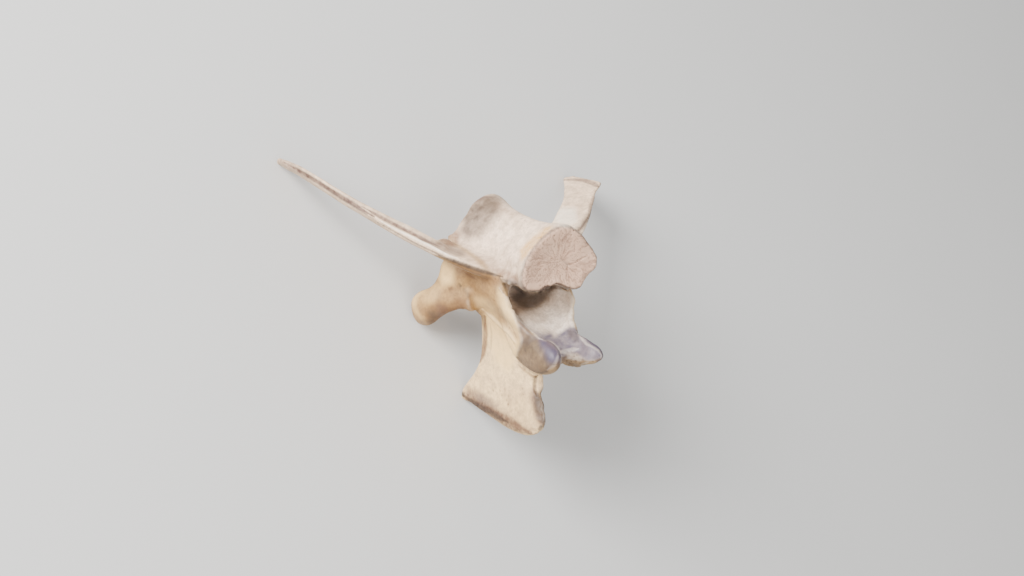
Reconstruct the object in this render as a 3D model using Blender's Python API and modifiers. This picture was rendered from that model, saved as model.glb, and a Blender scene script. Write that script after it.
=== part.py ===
"""A lumbar vertebra of a deer, life size, lying as the bare bone comes to rest.

The bone is modelled in its own anatomical axes, in millimetres: X towards the tail,
Y towards the animal's right side and Z towards the back, with the middle of the
vertebral body at the origin. Its parts are lofts that one Boolean union fuses, a voxel
remesh and a smoothing pass round the joins as bone grows them, and the finished solid is
then laid down on the three points that carry it.
"""

import math

import bmesh
import bpy
import numpy as np
from mathutils import Matrix, Vector

MM = 0.001
ACROSS = Vector((0, 1, 0))
UPWARD = Vector((0, 0, 1))
LENGTHWISE = Vector((1, 0, 0))

# Driving dimensions, in millimetres
BODY_LENGTH = 40.0
BODY_HALF = BODY_LENGTH / 2
RIM_SETBACK = 0.7
WAIST_HALF_LENGTH = 2.0
FLARE_POWER = 1.8
CAUDAL_TWIST = math.radians(4.5)
CANAL_HALF_WIDTH = 7.9
CANAL_FLOOR = 8.2
CANAL_ROOF = 19.3

# How many points go round a section, and how many sections are eased in between two given ones
SIDES = 40
BODY_SECTIONS = 17
EASED_STEPS = 4

# How square each kind of section is: 2 is an ellipse, and more is nearer a rectangle
LIMB_POWER = 2.3
CANAL_POWER = 2.5
BLADE_POWER = 2.6
SPINE_POWER = 3.0

# Half outlines of the vertebral body across its length, from the keel to the canal floor
CAUDAL_RIM = [(0, -11.6), (6.6, -8.9), (11.3, -4.4), (13.8, 0.4), (13.9, 4.6),
              (12.0, 8.2), (8.4, 9.9), (4.4, 9.2), (0, 7.3)]
WAIST = [(0, -8.7), (2.5, -7.4), (5.0, -4.2), (7.0, -0.6), (9.0, 3.2),
         (10.2, 6.6), (8.0, 8.6), (4.2, 8.2), (0, 7.4)]
CRANIAL_RIM = [(0, -11.4), (5.8, -8.8), (10.0, -4.4), (12.9, 0.6), (13.8, 4.8),
               (12.0, 8.2), (7.8, 9.6), (3.8, 8.8), (0, 7.8)]
# Both end faces, from the rim to the middle: how far each ring stands out, and its size
CRANIAL_DOME = [(-0.3, 0.97), (0.0, 0.92), (0.3, 0.75), (0.6, 0.5), (0.7, 0.2)]
CAUDAL_DISH = [(-0.3, 0.97), (0.0, 0.92), (-0.2, 0.8), (-0.8, 0.5), (-1.1, 0.2)]

# Half outline of the neural arch, from inside the body to the root of the spine
ARCH = [(0, 4.0), (7.0, 4.0), (11.2, 7.0), (11.9, 11.0), (11.2, 15.5),
        (8.8, 20.0), (5.4, 23.0), (0, 24.5)]
# Place along the bone, width
ARCH_STATIONS = [(-17.5, 0.93), (-14.0, 1.0), (0.0, 1.0), (8.0, 1.06), (14.5, 1.14)]
# Half outline of the roof behind the pedicles
LAMINA = [(0, 15.0), (7.0, 14.6), (11.6, 14.4), (11.9, 16.4), (9.8, 19.6), (6.8, 22.0),
          (4.0, 23.2), (0, 23.6)]
# Place along the bone, width, rise
LAMINA_STATIONS = [(8.0, 1.0, 0.0), (14.0, 1.04, 1.0), (20.0, 0.98, 3.0), (25.0, 0.84, 5.0),
                   (27.6, 0.6, 6.2)]

# Spinous process, from root to top: height, front edge, rear edge, thickness
SPINE_LEVELS = [
    (15.5, -9.0, 19.0, 20.0),
    (19.5, -10.5, 20.5, 17.0),
    (23.5, -11.6, 20.8, 12.4),
    (27.5, -11.6, 20.2, 8.6),
    (32.0, -10.8, 19.6, 6.0),
    (38.0, -9.8, 19.8, 4.2),
    (42.0, -9.8, 23.0, 3.8),
    (46.0, -11.2, 26.0, 3.8),
    (50.0, -13.6, 26.6, 4.2),
    (53.0, -15.8, 24.2, 4.6),
    (55.2, -16.6, 20.6, 4.4),
    (56.6, -15.8, 15.0, 3.2),
    (57.2, -13.0, 10.0, 1.4),
]

# Right transverse process, from root to tip: front edge, rear edge, thickness
TRANSVERSE_STATIONS = [
    ((-15.0, 8.0, 5.0), (8.0, 8.0, 7.6), 6.0),
    ((-16.5, 13.5, 6.6), (5.5, 13.5, 8.4), 5.2),
    ((-20.5, 22.0, 5.3), (-0.8, 21.5, 6.4), 3.8),
    ((-28.0, 33.0, 1.6), (-11.5, 33.5, 1.9), 3.0),
    ((-34.0, 40.0, -1.8), (-17.0, 40.0, -1.1), 2.7),
    ((-40.0, 46.5, -5.0), (-22.5, 46.5, -4.2), 2.5),
    ((-46.5, 51.5, -7.5), (-27.4, 51.0, -7.0), 2.4),
    ((-51.5, 54.8, -9.2), (-32.0, 55.2, -9.6), 2.3),
    ((-55.0, 57.2, -10.0), (-34.8, 59.2, -11.4), 2.3),
    ((-54.6, 58.6, -10.6), (-36.2, 60.8, -12.0), 1.3),
]

# Right cranial articular process: centre, half height, half width
CRANIAL_ARTICULAR = [
    ((-7.0, 9.5, 18.5), 4.0, 2.8),
    ((-12.4, 11.8, 19.5), 5.4, 3.2),
    ((-16.6, 13.4, 21.9), 5.8, 3.6),
    ((-21.0, 14.5, 25.6), 5.8, 4.0),
    ((-24.8, 14.9, 28.8), 6.2, 4.2),
    ((-27.1, 15.0, 30.5), 5.0, 3.2),
    ((-28.3, 15.0, 31.4), 2.8, 1.6),
]
# Buttress from the right pedicle up into that process: centre, half height, half width
BUTTRESS = [
    ((-12.5, 10.8, 4.5), 7.0, 2.8),
    ((-13.5, 11.5, 11.0), 7.9, 3.0),
    ((-17.0, 12.6, 17.5), 6.8, 3.4),
    ((-21.0, 13.2, 23.0), 4.8, 3.0),
]
# Right caudal articular process: centre, half height, half width
CAUDAL_ARTICULAR = [
    ((3.0, 4.4, 20.5), 2.4, 2.8),
    ((10.0, 5.2, 22.6), 3.6, 3.2),
    ((15.8, 6.0, 24.6), 5.0, 3.7),
    ((21.0, 6.6, 25.6), 5.8, 4.0),
    ((27.0, 6.8, 25.8), 5.8, 3.9),
    ((31.4, 7.4, 25.2), 5.0, 3.3),
    ((34.6, 8.0, 23.9), 3.4, 2.4),
    ((36.2, 8.3, 22.9), 1.4, 1.1),
]
# The left one is a little lower from top to bottom
LEFT_CAUDAL_SHARE = 0.88
# Rough web between the two: height, front edge, rear edge, thickness
WEB_LEVELS = [
    (20.0, 12.0, 27.0, 11.0),
    (24.5, 12.0, 29.4, 12.0),
    (26.4, 12.0, 28.4, 10.0),
    (27.6, 12.0, 25.4, 7.4),
    (28.4, 12.0, 20.0, 5.0),
]

# Vertebral canal, from front to rear: place along the bone, width, rise
CANAL_STATIONS = [
    (-32.0, 1.15, 1.0),
    (-18.0, 1.04, 0.3),
    (-10.0, 1.0, 0.0),
    (0.0, 1.0, 0.0),
    (7.0, 1.14, 0.4),
    (13.0, 1.36, 1.5),
    (20.0, 1.2, 4.0),
    (27.0, 0.84, 6.3),
    (34.0, 0.68, 8.6),
    (46.0, 0.6, 12.0),
]
# Notch behind the pedicles, cut right across the arch, as seen from the right side
CAUDAL_NOTCH = [(9.8, 10.2), (12.0, 12.2), (15.4, 15.0), (19.0, 17.6), (22.8, 19.6), (28.0, 20.6),
                (45.0, 18.0), (45.0, 9.8), (24.0, 9.8), (16.0, 9.2), (11.4, 9.0)]
NOTCH_HALF_WIDTH = 30.0
# Hollow inside each cranial articular process, open to the front
SOCKET_SIDE = 6.4
SOCKET_HEIGHT = 27.0
SOCKET_HALF_WIDTH = 5.6
SOCKET_HALF_HEIGHT = 6.4
SOCKET_MOUTH = -48.0
SOCKET_END = -16.0
# Upright gap between the two cranial articular processes
FRONT_GAP_PLACE = -22.0
FRONT_GAP_HALF_LENGTH = 8.0
FRONT_GAP_HALF_WIDTH = 8.5
FRONT_GAP_LOW = 15.0
FRONT_GAP_HIGH = 60.0

# Finishing of the fused solid
VOXEL = 0.6
SMOOTH_FACTOR = 0.5
SMOOTH_PASSES = 9
CORE_PASSES = 9
MOST_TRIANGLES = 10500
# The thin blades lie beyond this far to the side, and the spine's plate above this height
BLADE_FROM_SIDE = 30.0
BLADE_FROM_HEIGHT = 38.0
BLADE_FADE = 12.0

# Resting: depth of the flats under the three points, and the search for the lean
CONTACT_FLAT = 0.15
LEAN_RANGE = (math.radians(20), math.radians(45))
LEAN_HALVINGS = 40

BONE_COLOUR = (0.57, 0.47, 0.39, 1.0)
BONE_ROUGHNESS = 0.62


def emptied_scene():
    """Removes whatever the scene holds."""
    for obj in list(bpy.data.objects):
        bpy.data.objects.remove(obj, do_unlink=True)


def new_collection(name):
    collection = bpy.data.collections.new(name)
    bpy.context.scene.collection.children.link(collection)
    return collection


def curve_point(before, start, end, after, t):
    """A point between start and end on the Catmull-Rom curve through all four."""
    return 0.5 * (2 * start + (end - before) * t
                  + (2 * before - 5 * start + 4 * end - after) * t ** 2
                  + (3 * start - before - 3 * end + after) * t ** 3)


def smooth_loop(points, count):
    """Points evenly spread in parameter on a closed curve through the given ones."""
    control = np.array(points, float)
    total = len(control)
    made = []
    for step in range(count):
        place = step / count * total
        index = int(place)
        near = (control[(index + k) % total] for k in (-1, 0, 1, 2))
        made.append(curve_point(*near, place - index))
    return np.array(made)


def eased(rows):
    """Rows of sizes with others between them, on a smooth curve through each column."""
    given = np.array([np.hstack(row) for row in rows])
    padded = np.vstack([2 * given[0] - given[1], given, 2 * given[-1] - given[-2]])
    made = []
    for index in range(len(given) - 1):
        for step in range(EASED_STEPS):
            made.append(curve_point(*padded[index:index + 4], step / EASED_STEPS))
    made.append(given[-1])
    return made


def mirrored_outline(half):
    """A closed outline from its right half, whose first and last points lie on the mid plane."""
    left = [(-y, z) for y, z in reversed(half[1:-1])]
    return half + left


def oval(centre, axis_u, axis_v, half_u, half_v, power=2.0):
    """A superellipse round centre in the plane of two axes."""
    ring = []
    for step in range(SIDES):
        angle = 2 * math.pi * step / SIDES
        c, s = math.cos(angle), math.sin(angle)
        u = math.copysign(abs(c) ** (2 / power), c) * half_u
        v = math.copysign(abs(s) ** (2 / power), s) * half_v
        ring.append(Vector(centre) + axis_u * u + axis_v * v)
    return ring


def loft(name, rings, collection):
    """A closed skin through rings of equally many points, with a fan over each end."""
    mesh = bpy.data.meshes.new(name)
    work = bmesh.new()
    loops = [[work.verts.new(Vector(p) * MM) for p in ring] for ring in rings]
    count = len(loops[0])
    for near, far in zip(loops[:-1], loops[1:]):
        for i in range(count):
            j = (i + 1) % count
            work.faces.new((near[i], near[j], far[j], far[i]))
    for loop in (loops[0], loops[-1]):
        hub = work.verts.new(sum((v.co for v in loop), Vector()) / count)
        for i in range(count):
            work.faces.new((loop[i], loop[(i + 1) % count], hub))
    bmesh.ops.recalc_face_normals(work, faces=work.faces)
    work.to_mesh(mesh)
    work.free()
    obj = bpy.data.objects.new(name, mesh)
    collection.objects.link(obj)
    return obj


def mirrored(obj, collection):
    """A copy of a right-hand object on the left side of the mid plane."""
    copy = obj.copy()
    copy.data = obj.data.copy()
    copy.name = obj.name.replace("right", "left")
    copy.data.transform(Matrix.Scale(-1, 4, ACROSS))
    copy.data.flip_normals()
    collection.objects.link(copy)
    return copy


def vertebral_body(collection):
    """The centrum: a keeled spool whose two end faces are heart shaped."""
    caudal, waist, cranial = (
        smooth_loop(mirrored_outline(half), SIDES) for half in (CAUDAL_RIM, WAIST, CRANIAL_RIM)
    )
    c, s = math.cos(CAUDAL_TWIST), math.sin(CAUDAL_TWIST)
    caudal = caudal @ np.array([[c, s], [-s, c]])
    reach = BODY_HALF - RIM_SETBACK
    spool = []
    for x in np.linspace(-reach, reach, BODY_SECTIONS):
        flare = max(0.0, (abs(x) - WAIST_HALF_LENGTH) / (reach - WAIST_HALF_LENGTH)) ** FLARE_POWER
        rim = caudal if x > 0 else cranial
        spool.append([(x, y, z) for y, z in waist + (rim - waist) * flare])

    def end_face(rim, profile, side):
        centre = rim.mean(axis=0)
        return [[(side * (BODY_HALF + out), *(centre + (p - centre) * share)) for p in rim]
                for out, share in profile]

    front = end_face(cranial, CRANIAL_DOME, -1)[::-1]
    rear = end_face(caudal, CAUDAL_DISH, 1)
    return loft("vertebral_body", front + spool + rear, collection)


def neural_arch(collection):
    """Pedicles and laminae as one block, which the canal and the notches are cut from."""
    outline = smooth_loop(mirrored_outline(ARCH), SIDES)
    rings = [[(x, y * wide, z) for y, z in outline] for x, wide in eased(ARCH_STATIONS)]
    return loft("neural_arch", rings, collection)


def lamina(collection):
    """The roof of the arch behind the pedicles, which thins and rises towards the tail."""
    outline = smooth_loop(mirrored_outline(LAMINA), SIDES)
    rings = [[(x, y * wide, z + rise) for y, z in outline]
             for x, wide, rise in eased(LAMINA_STATIONS)]
    return loft("lamina", rings, collection)


def upright_plate(name, levels, power, collection):
    """A plate in the mid plane, from level sections of a given front, rear and thickness."""
    rings = []
    for height, front, rear, thickness in eased(levels):
        centre = ((front + rear) / 2, 0, height)
        rings.append(oval(centre, LENGTHWISE, ACROSS, (rear - front) / 2, thickness / 2, power))
    return loft(name, rings, collection)


def transverse_process(collection):
    """The right one: a thin blade that sweeps forwards and down."""
    stations = eased(TRANSVERSE_STATIONS)
    centres = [Vector((row[:3] + row[3:6]) / 2) for row in stations]
    rings = []
    for index, row in enumerate(stations):
        before = centres[max(index - 1, 0)]
        after = centres[min(index + 1, len(centres) - 1)]
        across = Vector((row[3:6] - row[:3]) / 2)
        normal = across.cross(after - before).normalized()
        rings.append(oval(centres[index], across.normalized(), normal,
                          across.length, row[6] / 2, BLADE_POWER))
    return loft("transverse_process_right", rings, collection)


def limb(name, stations, collection):
    """A process of oval section along a path in a near upright plane."""
    stations = eased(stations)
    centres = [Vector(row[:3]) for row in stations]
    rings = []
    for index, (_, _, _, half_height, half_width) in enumerate(stations):
        before = centres[max(index - 1, 0)]
        after = centres[min(index + 1, len(centres) - 1)]
        along = (after - before).normalized()
        upright = ACROSS.cross(along).normalized()
        sideways = along.cross(upright)
        rings.append(oval(centres[index], upright, sideways, half_height, half_width, LIMB_POWER))
    return loft(name, rings, collection)


def caudal_articulars(collection):
    """Both rear joint processes, the left one slimmer, and the rough web that joins them."""
    limb("caudal_articular_right", CAUDAL_ARTICULAR, collection)
    left = [((x, -y, z), half_height * LEFT_CAUDAL_SHARE, half_width)
            for (x, y, z), half_height, half_width in CAUDAL_ARTICULAR]
    limb("caudal_articular_left", left, collection)
    upright_plate("articular_web", WEB_LEVELS, BLADE_POWER, collection)


def canal_cutter(collection):
    """The vertebral canal: a flat floor and an arched roof that rises towards the tail."""
    middle = (CANAL_FLOOR + CANAL_ROOF) / 2
    half_height = (CANAL_ROOF - CANAL_FLOOR) / 2
    rings = [oval((x, 0, middle + rise), ACROSS, UPWARD,
                  CANAL_HALF_WIDTH * wide, half_height, CANAL_POWER)
             for x, wide, rise in eased(CANAL_STATIONS)]
    return loft("canal_cutter", rings, collection)


def caudal_notch_cutter(collection):
    """A block right across the bone that opens the arch behind its pedicles."""
    outline = smooth_loop(CAUDAL_NOTCH, SIDES)
    rings = [[(x, y, z) for x, z in outline] for y in (-NOTCH_HALF_WIDTH, NOTCH_HALF_WIDTH)]
    return loft("caudal_notch_cutter", rings, collection)


def socket_cutter(collection):
    """The hollow in the right cranial articular process, where its neighbour's knuckle sat."""
    rings = [oval((x, SOCKET_SIDE, SOCKET_HEIGHT), ACROSS, UPWARD,
                  SOCKET_HALF_WIDTH, SOCKET_HALF_HEIGHT) for x in (SOCKET_MOUTH, SOCKET_END)]
    return loft("socket_cutter_right", rings, collection)


def front_gap_cutter(collection):
    """An upright oval plug that opens the gap between the cranial articular processes."""
    rings = [oval((FRONT_GAP_PLACE, 0, z), LENGTHWISE, ACROSS,
                  FRONT_GAP_HALF_LENGTH, FRONT_GAP_HALF_WIDTH)
             for z in (FRONT_GAP_LOW, FRONT_GAP_HIGH)]
    return loft("front_gap_cutter", rings, collection)


def apply_modifiers(obj):
    """Replaces the object's mesh by what its modifiers make of it."""
    graph = bpy.context.evaluated_depsgraph_get()
    made = bpy.data.meshes.new_from_object(obj.evaluated_get(graph))
    obj.modifiers.clear()
    obj.data = made


def combine(obj, operation, collection):
    """One Boolean of obj with all of a collection, applied, with the collection then emptied.

    The EXACT solver loses most of the skin where so many pieces share the bone's core, and
    every piece here is closed, as MANIFOLD needs.
    """
    modifier = obj.modifiers.new(operation.lower(), "BOOLEAN")
    modifier.operation = operation
    modifier.operand_type = "COLLECTION"
    modifier.collection = collection
    modifier.solver = "MANIFOLD"
    apply_modifiers(obj)
    for other in list(collection.objects):
        bpy.data.objects.remove(other, do_unlink=True)


def keep_largest(obj):
    """Drops all but the largest closed surface."""
    work = bmesh.new()
    work.from_mesh(obj.data)
    unseen, groups = set(work.verts), []
    while unseen:
        stack, group = [unseen.pop()], []
        while stack:
            vertex = stack.pop()
            group.append(vertex)
            for edge in vertex.link_edges:
                other = edge.other_vert(vertex)
                if other in unseen:
                    unseen.discard(other)
                    stack.append(other)
        groups.append(group)
    groups.sort(key=len)
    for group in groups[:-1]:
        bmesh.ops.delete(work, geom=group, context="VERTS")
    work.to_mesh(obj.data)
    work.free()


def core_share(point):
    """1 in the middle of the bone, where its parts join, down to 0 out on the thin blades."""
    _, y, z = point
    sideways = (BLADE_FROM_SIDE - abs(y)) / BLADE_FADE
    upward = (BLADE_FROM_HEIGHT - z) / BLADE_FADE
    return min(1.0, max(0.0, sideways)) * min(1.0, max(0.0, upward))


def round_the_joins(obj):
    """Fuses the union's sharp joins into fillets, then thins the mesh to its budget."""
    remesh = obj.modifiers.new("remesh", "REMESH")
    remesh.mode = "VOXEL"
    remesh.voxel_size = VOXEL * MM
    apply_modifiers(obj)
    core = obj.vertex_groups.new(name="core")
    for vertex in obj.data.vertices:
        core.add([vertex.index], core_share(vertex.co / MM), "REPLACE")
    for passes, group in ((SMOOTH_PASSES, ""), (CORE_PASSES, core.name)):
        smooth = obj.modifiers.new("smooth", "SMOOTH")
        smooth.factor = SMOOTH_FACTOR
        smooth.iterations = passes
        smooth.vertex_group = group
    apply_modifiers(obj)
    obj.vertex_groups.clear()
    keep_largest(obj)
    triangles = sum(len(face.vertices) - 2 for face in obj.data.polygons)
    thin = obj.modifiers.new("thin", "DECIMATE")
    thin.ratio = MOST_TRIANGLES / triangles
    thin.use_collapse_triangulate = True
    apply_modifiers(obj)


def resting_lean(points):
    """The lean from upright at which the front of the spine and both blade tips are level."""
    blades = points[np.abs(points[:, 1]) > BLADE_FROM_SIDE * MM]
    spine = points[points[:, 2] > BLADE_FROM_HEIGHT * MM]
    low, high = LEAN_RANGE
    for _ in range(LEAN_HALVINGS):
        lean = (low + high) / 2
        up = np.array([math.cos(lean), 0, -math.sin(lean)])
        if (spine @ up).min() > (blades @ up).min():
            low = lean
        else:
            high = lean
    return lean


def flatten_contacts(obj, height):
    """Cuts the mesh level at a height and closes the small flats that this leaves."""
    work = bmesh.new()
    work.from_mesh(obj.data)
    geometry = work.verts[:] + work.edges[:] + work.faces[:]
    cut = bmesh.ops.bisect_plane(work, geom=geometry, dist=1e-7, plane_co=(0, 0, height),
                                 plane_no=(0, 0, -1), clear_outer=True)["geom_cut"]
    rims = [item for item in cut if isinstance(item, bmesh.types.BMEdge)]
    bmesh.ops.holes_fill(work, edges=rims, sides=0)
    bmesh.ops.triangulate(work, faces=work.faces)
    bmesh.ops.recalc_face_normals(work, faces=work.faces)
    work.to_mesh(obj.data)
    work.free()


def lay_down(obj):
    """Stands the bone on its front end, with three small flats at floor level.

    Up is then the tail end, the spine points to +X and the animal's right side to -Y, and
    the origin is at the middle of the bottom of its box.
    """
    lean = resting_lean(np.array([vertex.co for vertex in obj.data.vertices]))
    c, s = math.cos(lean), math.sin(lean)
    obj.data.transform(Matrix(((s, 0, c, 0), (0, -1, 0, 0), (c, 0, -s, 0), (0, 0, 0, 1))))
    floor = min(vertex.co.z for vertex in obj.data.vertices) + CONTACT_FLAT * MM
    flatten_contacts(obj, floor)
    corners = np.array([vertex.co for vertex in obj.data.vertices])
    middle = (corners.min(axis=0) + corners.max(axis=0)) / 2
    obj.data.transform(Matrix.Translation((-middle[0], -middle[1], -floor)))


def bone_material():
    """Dry, weathered bone: warm cream and matt."""
    material = bpy.data.materials.new("dry_bone")
    material.use_nodes = True
    shader = material.node_tree.nodes["Principled BSDF"]
    shader.inputs["Base Color"].default_value = BONE_COLOUR
    shader.inputs["Roughness"].default_value = BONE_ROUGHNESS
    shader.inputs["Metallic"].default_value = 0.0
    return material


def main():
    emptied_scene()
    model = new_collection("deer_vertebra")
    pieces = new_collection("pieces")
    cutters = new_collection("cutters")

    bone = vertebral_body(model)
    neural_arch(pieces)
    lamina(pieces)
    upright_plate("spinous_process", SPINE_LEVELS, SPINE_POWER, pieces)
    mirrored(transverse_process(pieces), pieces)
    mirrored(limb("buttress_right", BUTTRESS, pieces), pieces)
    mirrored(limb("cranial_articular_right", CRANIAL_ARTICULAR, pieces), pieces)
    caudal_articulars(pieces)
    combine(bone, "UNION", pieces)

    canal_cutter(cutters)
    caudal_notch_cutter(cutters)
    mirrored(socket_cutter(cutters), cutters)
    front_gap_cutter(cutters)
    for cutter in cutters.objects:
        cutter.hide_render = True
        cutter.display_type = "WIRE"
    combine(bone, "DIFFERENCE", cutters)

    round_the_joins(bone)
    lay_down(bone)
    bone.name = "vertebra"
    bone.data.name = "vertebra"
    bone.data.materials.clear()
    bone.data.materials.append(bone_material())
    bone.data.shade_smooth()


main()
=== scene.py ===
"""A dry lumbar vertebra of a deer, dressed as a museum model.

The bone rests on its front end. Its skin starts from the solid part, is made finer, is
sculpted with crests, grooves and sunken joint faces, and is stained as old bone is, with
painted shade in its hollows and under its edges and painted highlights on its edges. Places
on it are given in its own anatomical axes, in millimetres: X towards the tail, Y towards the
animal's right side and Z towards its back, with the middle of the vertebral body at the
origin. What only the picture tells is given by its place in a picture of 1024 by 576 pixels.
"""

import logging
import math
from dataclasses import dataclass
from enum import Enum
from typing import Any

import bmesh
import bpy
import numpy as np
from mathutils import Matrix, Vector, noise
from mathutils.bvhtree import BVHTree


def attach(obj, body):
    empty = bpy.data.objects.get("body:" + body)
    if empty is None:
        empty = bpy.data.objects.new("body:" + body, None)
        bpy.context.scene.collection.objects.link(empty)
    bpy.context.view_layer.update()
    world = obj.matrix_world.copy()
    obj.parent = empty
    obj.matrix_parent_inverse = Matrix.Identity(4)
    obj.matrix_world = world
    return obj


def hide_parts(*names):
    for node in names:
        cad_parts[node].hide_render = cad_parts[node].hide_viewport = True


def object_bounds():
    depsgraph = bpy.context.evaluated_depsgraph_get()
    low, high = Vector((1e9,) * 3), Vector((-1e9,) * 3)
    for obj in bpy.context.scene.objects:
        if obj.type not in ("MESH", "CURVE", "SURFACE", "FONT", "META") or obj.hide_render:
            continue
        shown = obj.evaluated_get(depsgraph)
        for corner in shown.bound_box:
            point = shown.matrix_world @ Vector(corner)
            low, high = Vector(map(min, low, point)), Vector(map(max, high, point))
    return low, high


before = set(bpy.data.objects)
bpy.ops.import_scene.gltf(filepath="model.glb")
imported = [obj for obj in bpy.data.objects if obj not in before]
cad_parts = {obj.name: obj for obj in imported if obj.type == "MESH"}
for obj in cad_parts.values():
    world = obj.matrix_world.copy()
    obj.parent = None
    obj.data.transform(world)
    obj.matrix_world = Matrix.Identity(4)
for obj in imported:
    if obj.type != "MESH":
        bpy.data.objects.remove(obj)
CAD_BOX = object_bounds()

LOG = logging.getLogger("vertebra")
MM = 0.001
NODE = "vertebra"
PICTURE_WIDTH = 1024
PICTURE_HEIGHT = 576
SENSOR_WIDTH = 36.0
# Points nearer to each other than this, in metres, are one
SAME_PLACE = 1e-6
# Least number that is divided by
TINY = 1e-9
# How far each seed of the noise lies from the last one, in units of its features
NOISE_STEPS = (13.7, 5.1, 9.3)

Pixels = tuple[tuple[float, float], ...]
Span = tuple[float, float]


class Mask(Enum):
    """The painted masks of the bone, each a number from 0 to 1 at every point of the skin."""

    BODY = "body"
    SHADE = "shade"
    ARCH = "arch"
    CREAM = "cream"
    OCHRE = "ochre"
    BLADE = "blade"
    SPINE = "spine"
    CANAL = "canal"
    PLATE = "end_plate"
    RIM = "end_plate_rim"
    YELLOW = "yellow"
    ROSE = "rose"
    GREY = "grey"
    BROWN = "brown"
    BLUE = "blue"
    RUST = "rust"
    UMBER = "umber"
    # Painted shade: the dark inside of the canal and the rounded border of the near rear joint face
    DARK = "dark"
    # Black: spots of the bone itself, and painted shadow under the near rear joint face
    SOOT_AND_SHADOW = "soot_and_shadow"
    # Painted shade of the hollow behind the near pedicle
    HOLLOW_SHADE = "hollow"
    PALE = "pale"
    POROUS = "porous"
    PORE = "pore"
    RIDGE = "ridge"


def smoothstep(value: np.ndarray, span: Span) -> np.ndarray:
    """A smooth climb from 0 to 1.

    Args:
        value: The numbers to map.
        span: Where the result is 0, then where it is 1, which may be the lesser number.

    Returns:
        Numbers from 0 to 1.
    """
    start, end = span
    t = np.clip((value - start) / (end - start), 0.0, 1.0)
    return t * t * (3.0 - 2.0 * t)


def sides(mirrored: bool) -> list[np.ndarray]:
    """What anatomical places are multiplied by, for each side of the bone that has a mark."""
    return [np.array([1, side, 1]) for side in ((1, -1) if mirrored else (1,))]


def linear_colour(hex_code: str) -> tuple[float, float, float, float]:
    """An sRGB hex colour as linear red, green, blue and alpha.

    Args:
        hex_code: Six hex digits, with or without a leading #.

    Returns:
        Four linear numbers, the last of them 1.
    """
    digits = hex_code.lstrip("#")
    shares = [int(digits[i:i + 2], 16) / 255 for i in (0, 2, 4)]
    linear = [s / 12.92 if s <= 0.04045 else ((s + 0.055) / 1.055) ** 2.4 for s in shares]
    return (*linear, 1.0)


def add_node(tree: bpy.types.NodeTree, kind: str, inputs: dict | None = None,
             **settings: Any) -> Any:
    """Adds one node with its settings, values and incoming links.

    Args:
        tree: The node tree that gets the node.
        kind: Blender's name of the node type.
        inputs: Socket name or index to a plain value, or to the output socket linked to it.
        **settings: The node's own properties.

    Returns:
        The new node.
    """
    node = tree.nodes.new(kind)
    for name, value in settings.items():
        setattr(node, name, value)
    for key, value in (inputs or {}).items():
        if isinstance(value, bpy.types.NodeSocket):
            tree.links.new(value, node.inputs[key])
        else:
            node.inputs[key].default_value = value
    return node


def add_material(name: str) -> tuple[bpy.types.Material, bpy.types.NodeTree, Any]:
    """A new material, with its node tree and its shader.

    Args:
        name: The material's name.

    Returns:
        The material, its node tree and its shader node.
    """
    material = bpy.data.materials.new(name)
    material.use_nodes = True
    return material, material.node_tree, material.node_tree.nodes["Principled BSDF"]


def add_object(name: str, data: Any) -> bpy.types.Object:
    """A new object in the scene, at the origin.

    Args:
        name: The object's name.
        data: Its mesh, light or camera.

    Returns:
        The new object.
    """
    obj = bpy.data.objects.new(name, data)
    bpy.context.scene.collection.objects.link(obj)
    return obj


@dataclass(frozen=True)
class AnatomicalFrame:
    """Turns anatomical millimetres into the part's metres and back.

    Attributes:
        lean_degrees: How far the resting bone leans from standing upright on its front end.
        offset_mm: Where the middle of the vertebral body lies, in the part's frame.
    """

    lean_degrees: float = 31.4188
    offset_mm: tuple[float, float, float] = (-10.285, 0.003, 41.184)

    def turn(self) -> np.ndarray:
        """The 3 by 3 turn from anatomical axes to the part's.

        Returns:
            A matrix whose columns are the anatomical axes, in the part's frame.
        """
        lean = math.radians(self.lean_degrees)
        c, s = math.cos(lean), math.sin(lean)
        return np.array([[s, 0, c], [0, -1, 0], [c, 0, -s]])

    def to_bone(self, metres: np.ndarray) -> np.ndarray:
        """Places in the part's metres as anatomical millimetres."""
        return (metres / MM - np.array(self.offset_mm)) @ self.turn()

    def to_part(self, bone_mm: np.ndarray) -> np.ndarray:
        """Anatomical millimetres as places in the part's metres."""
        return (bone_mm @ self.turn().T + np.array(self.offset_mm)) * MM


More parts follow.
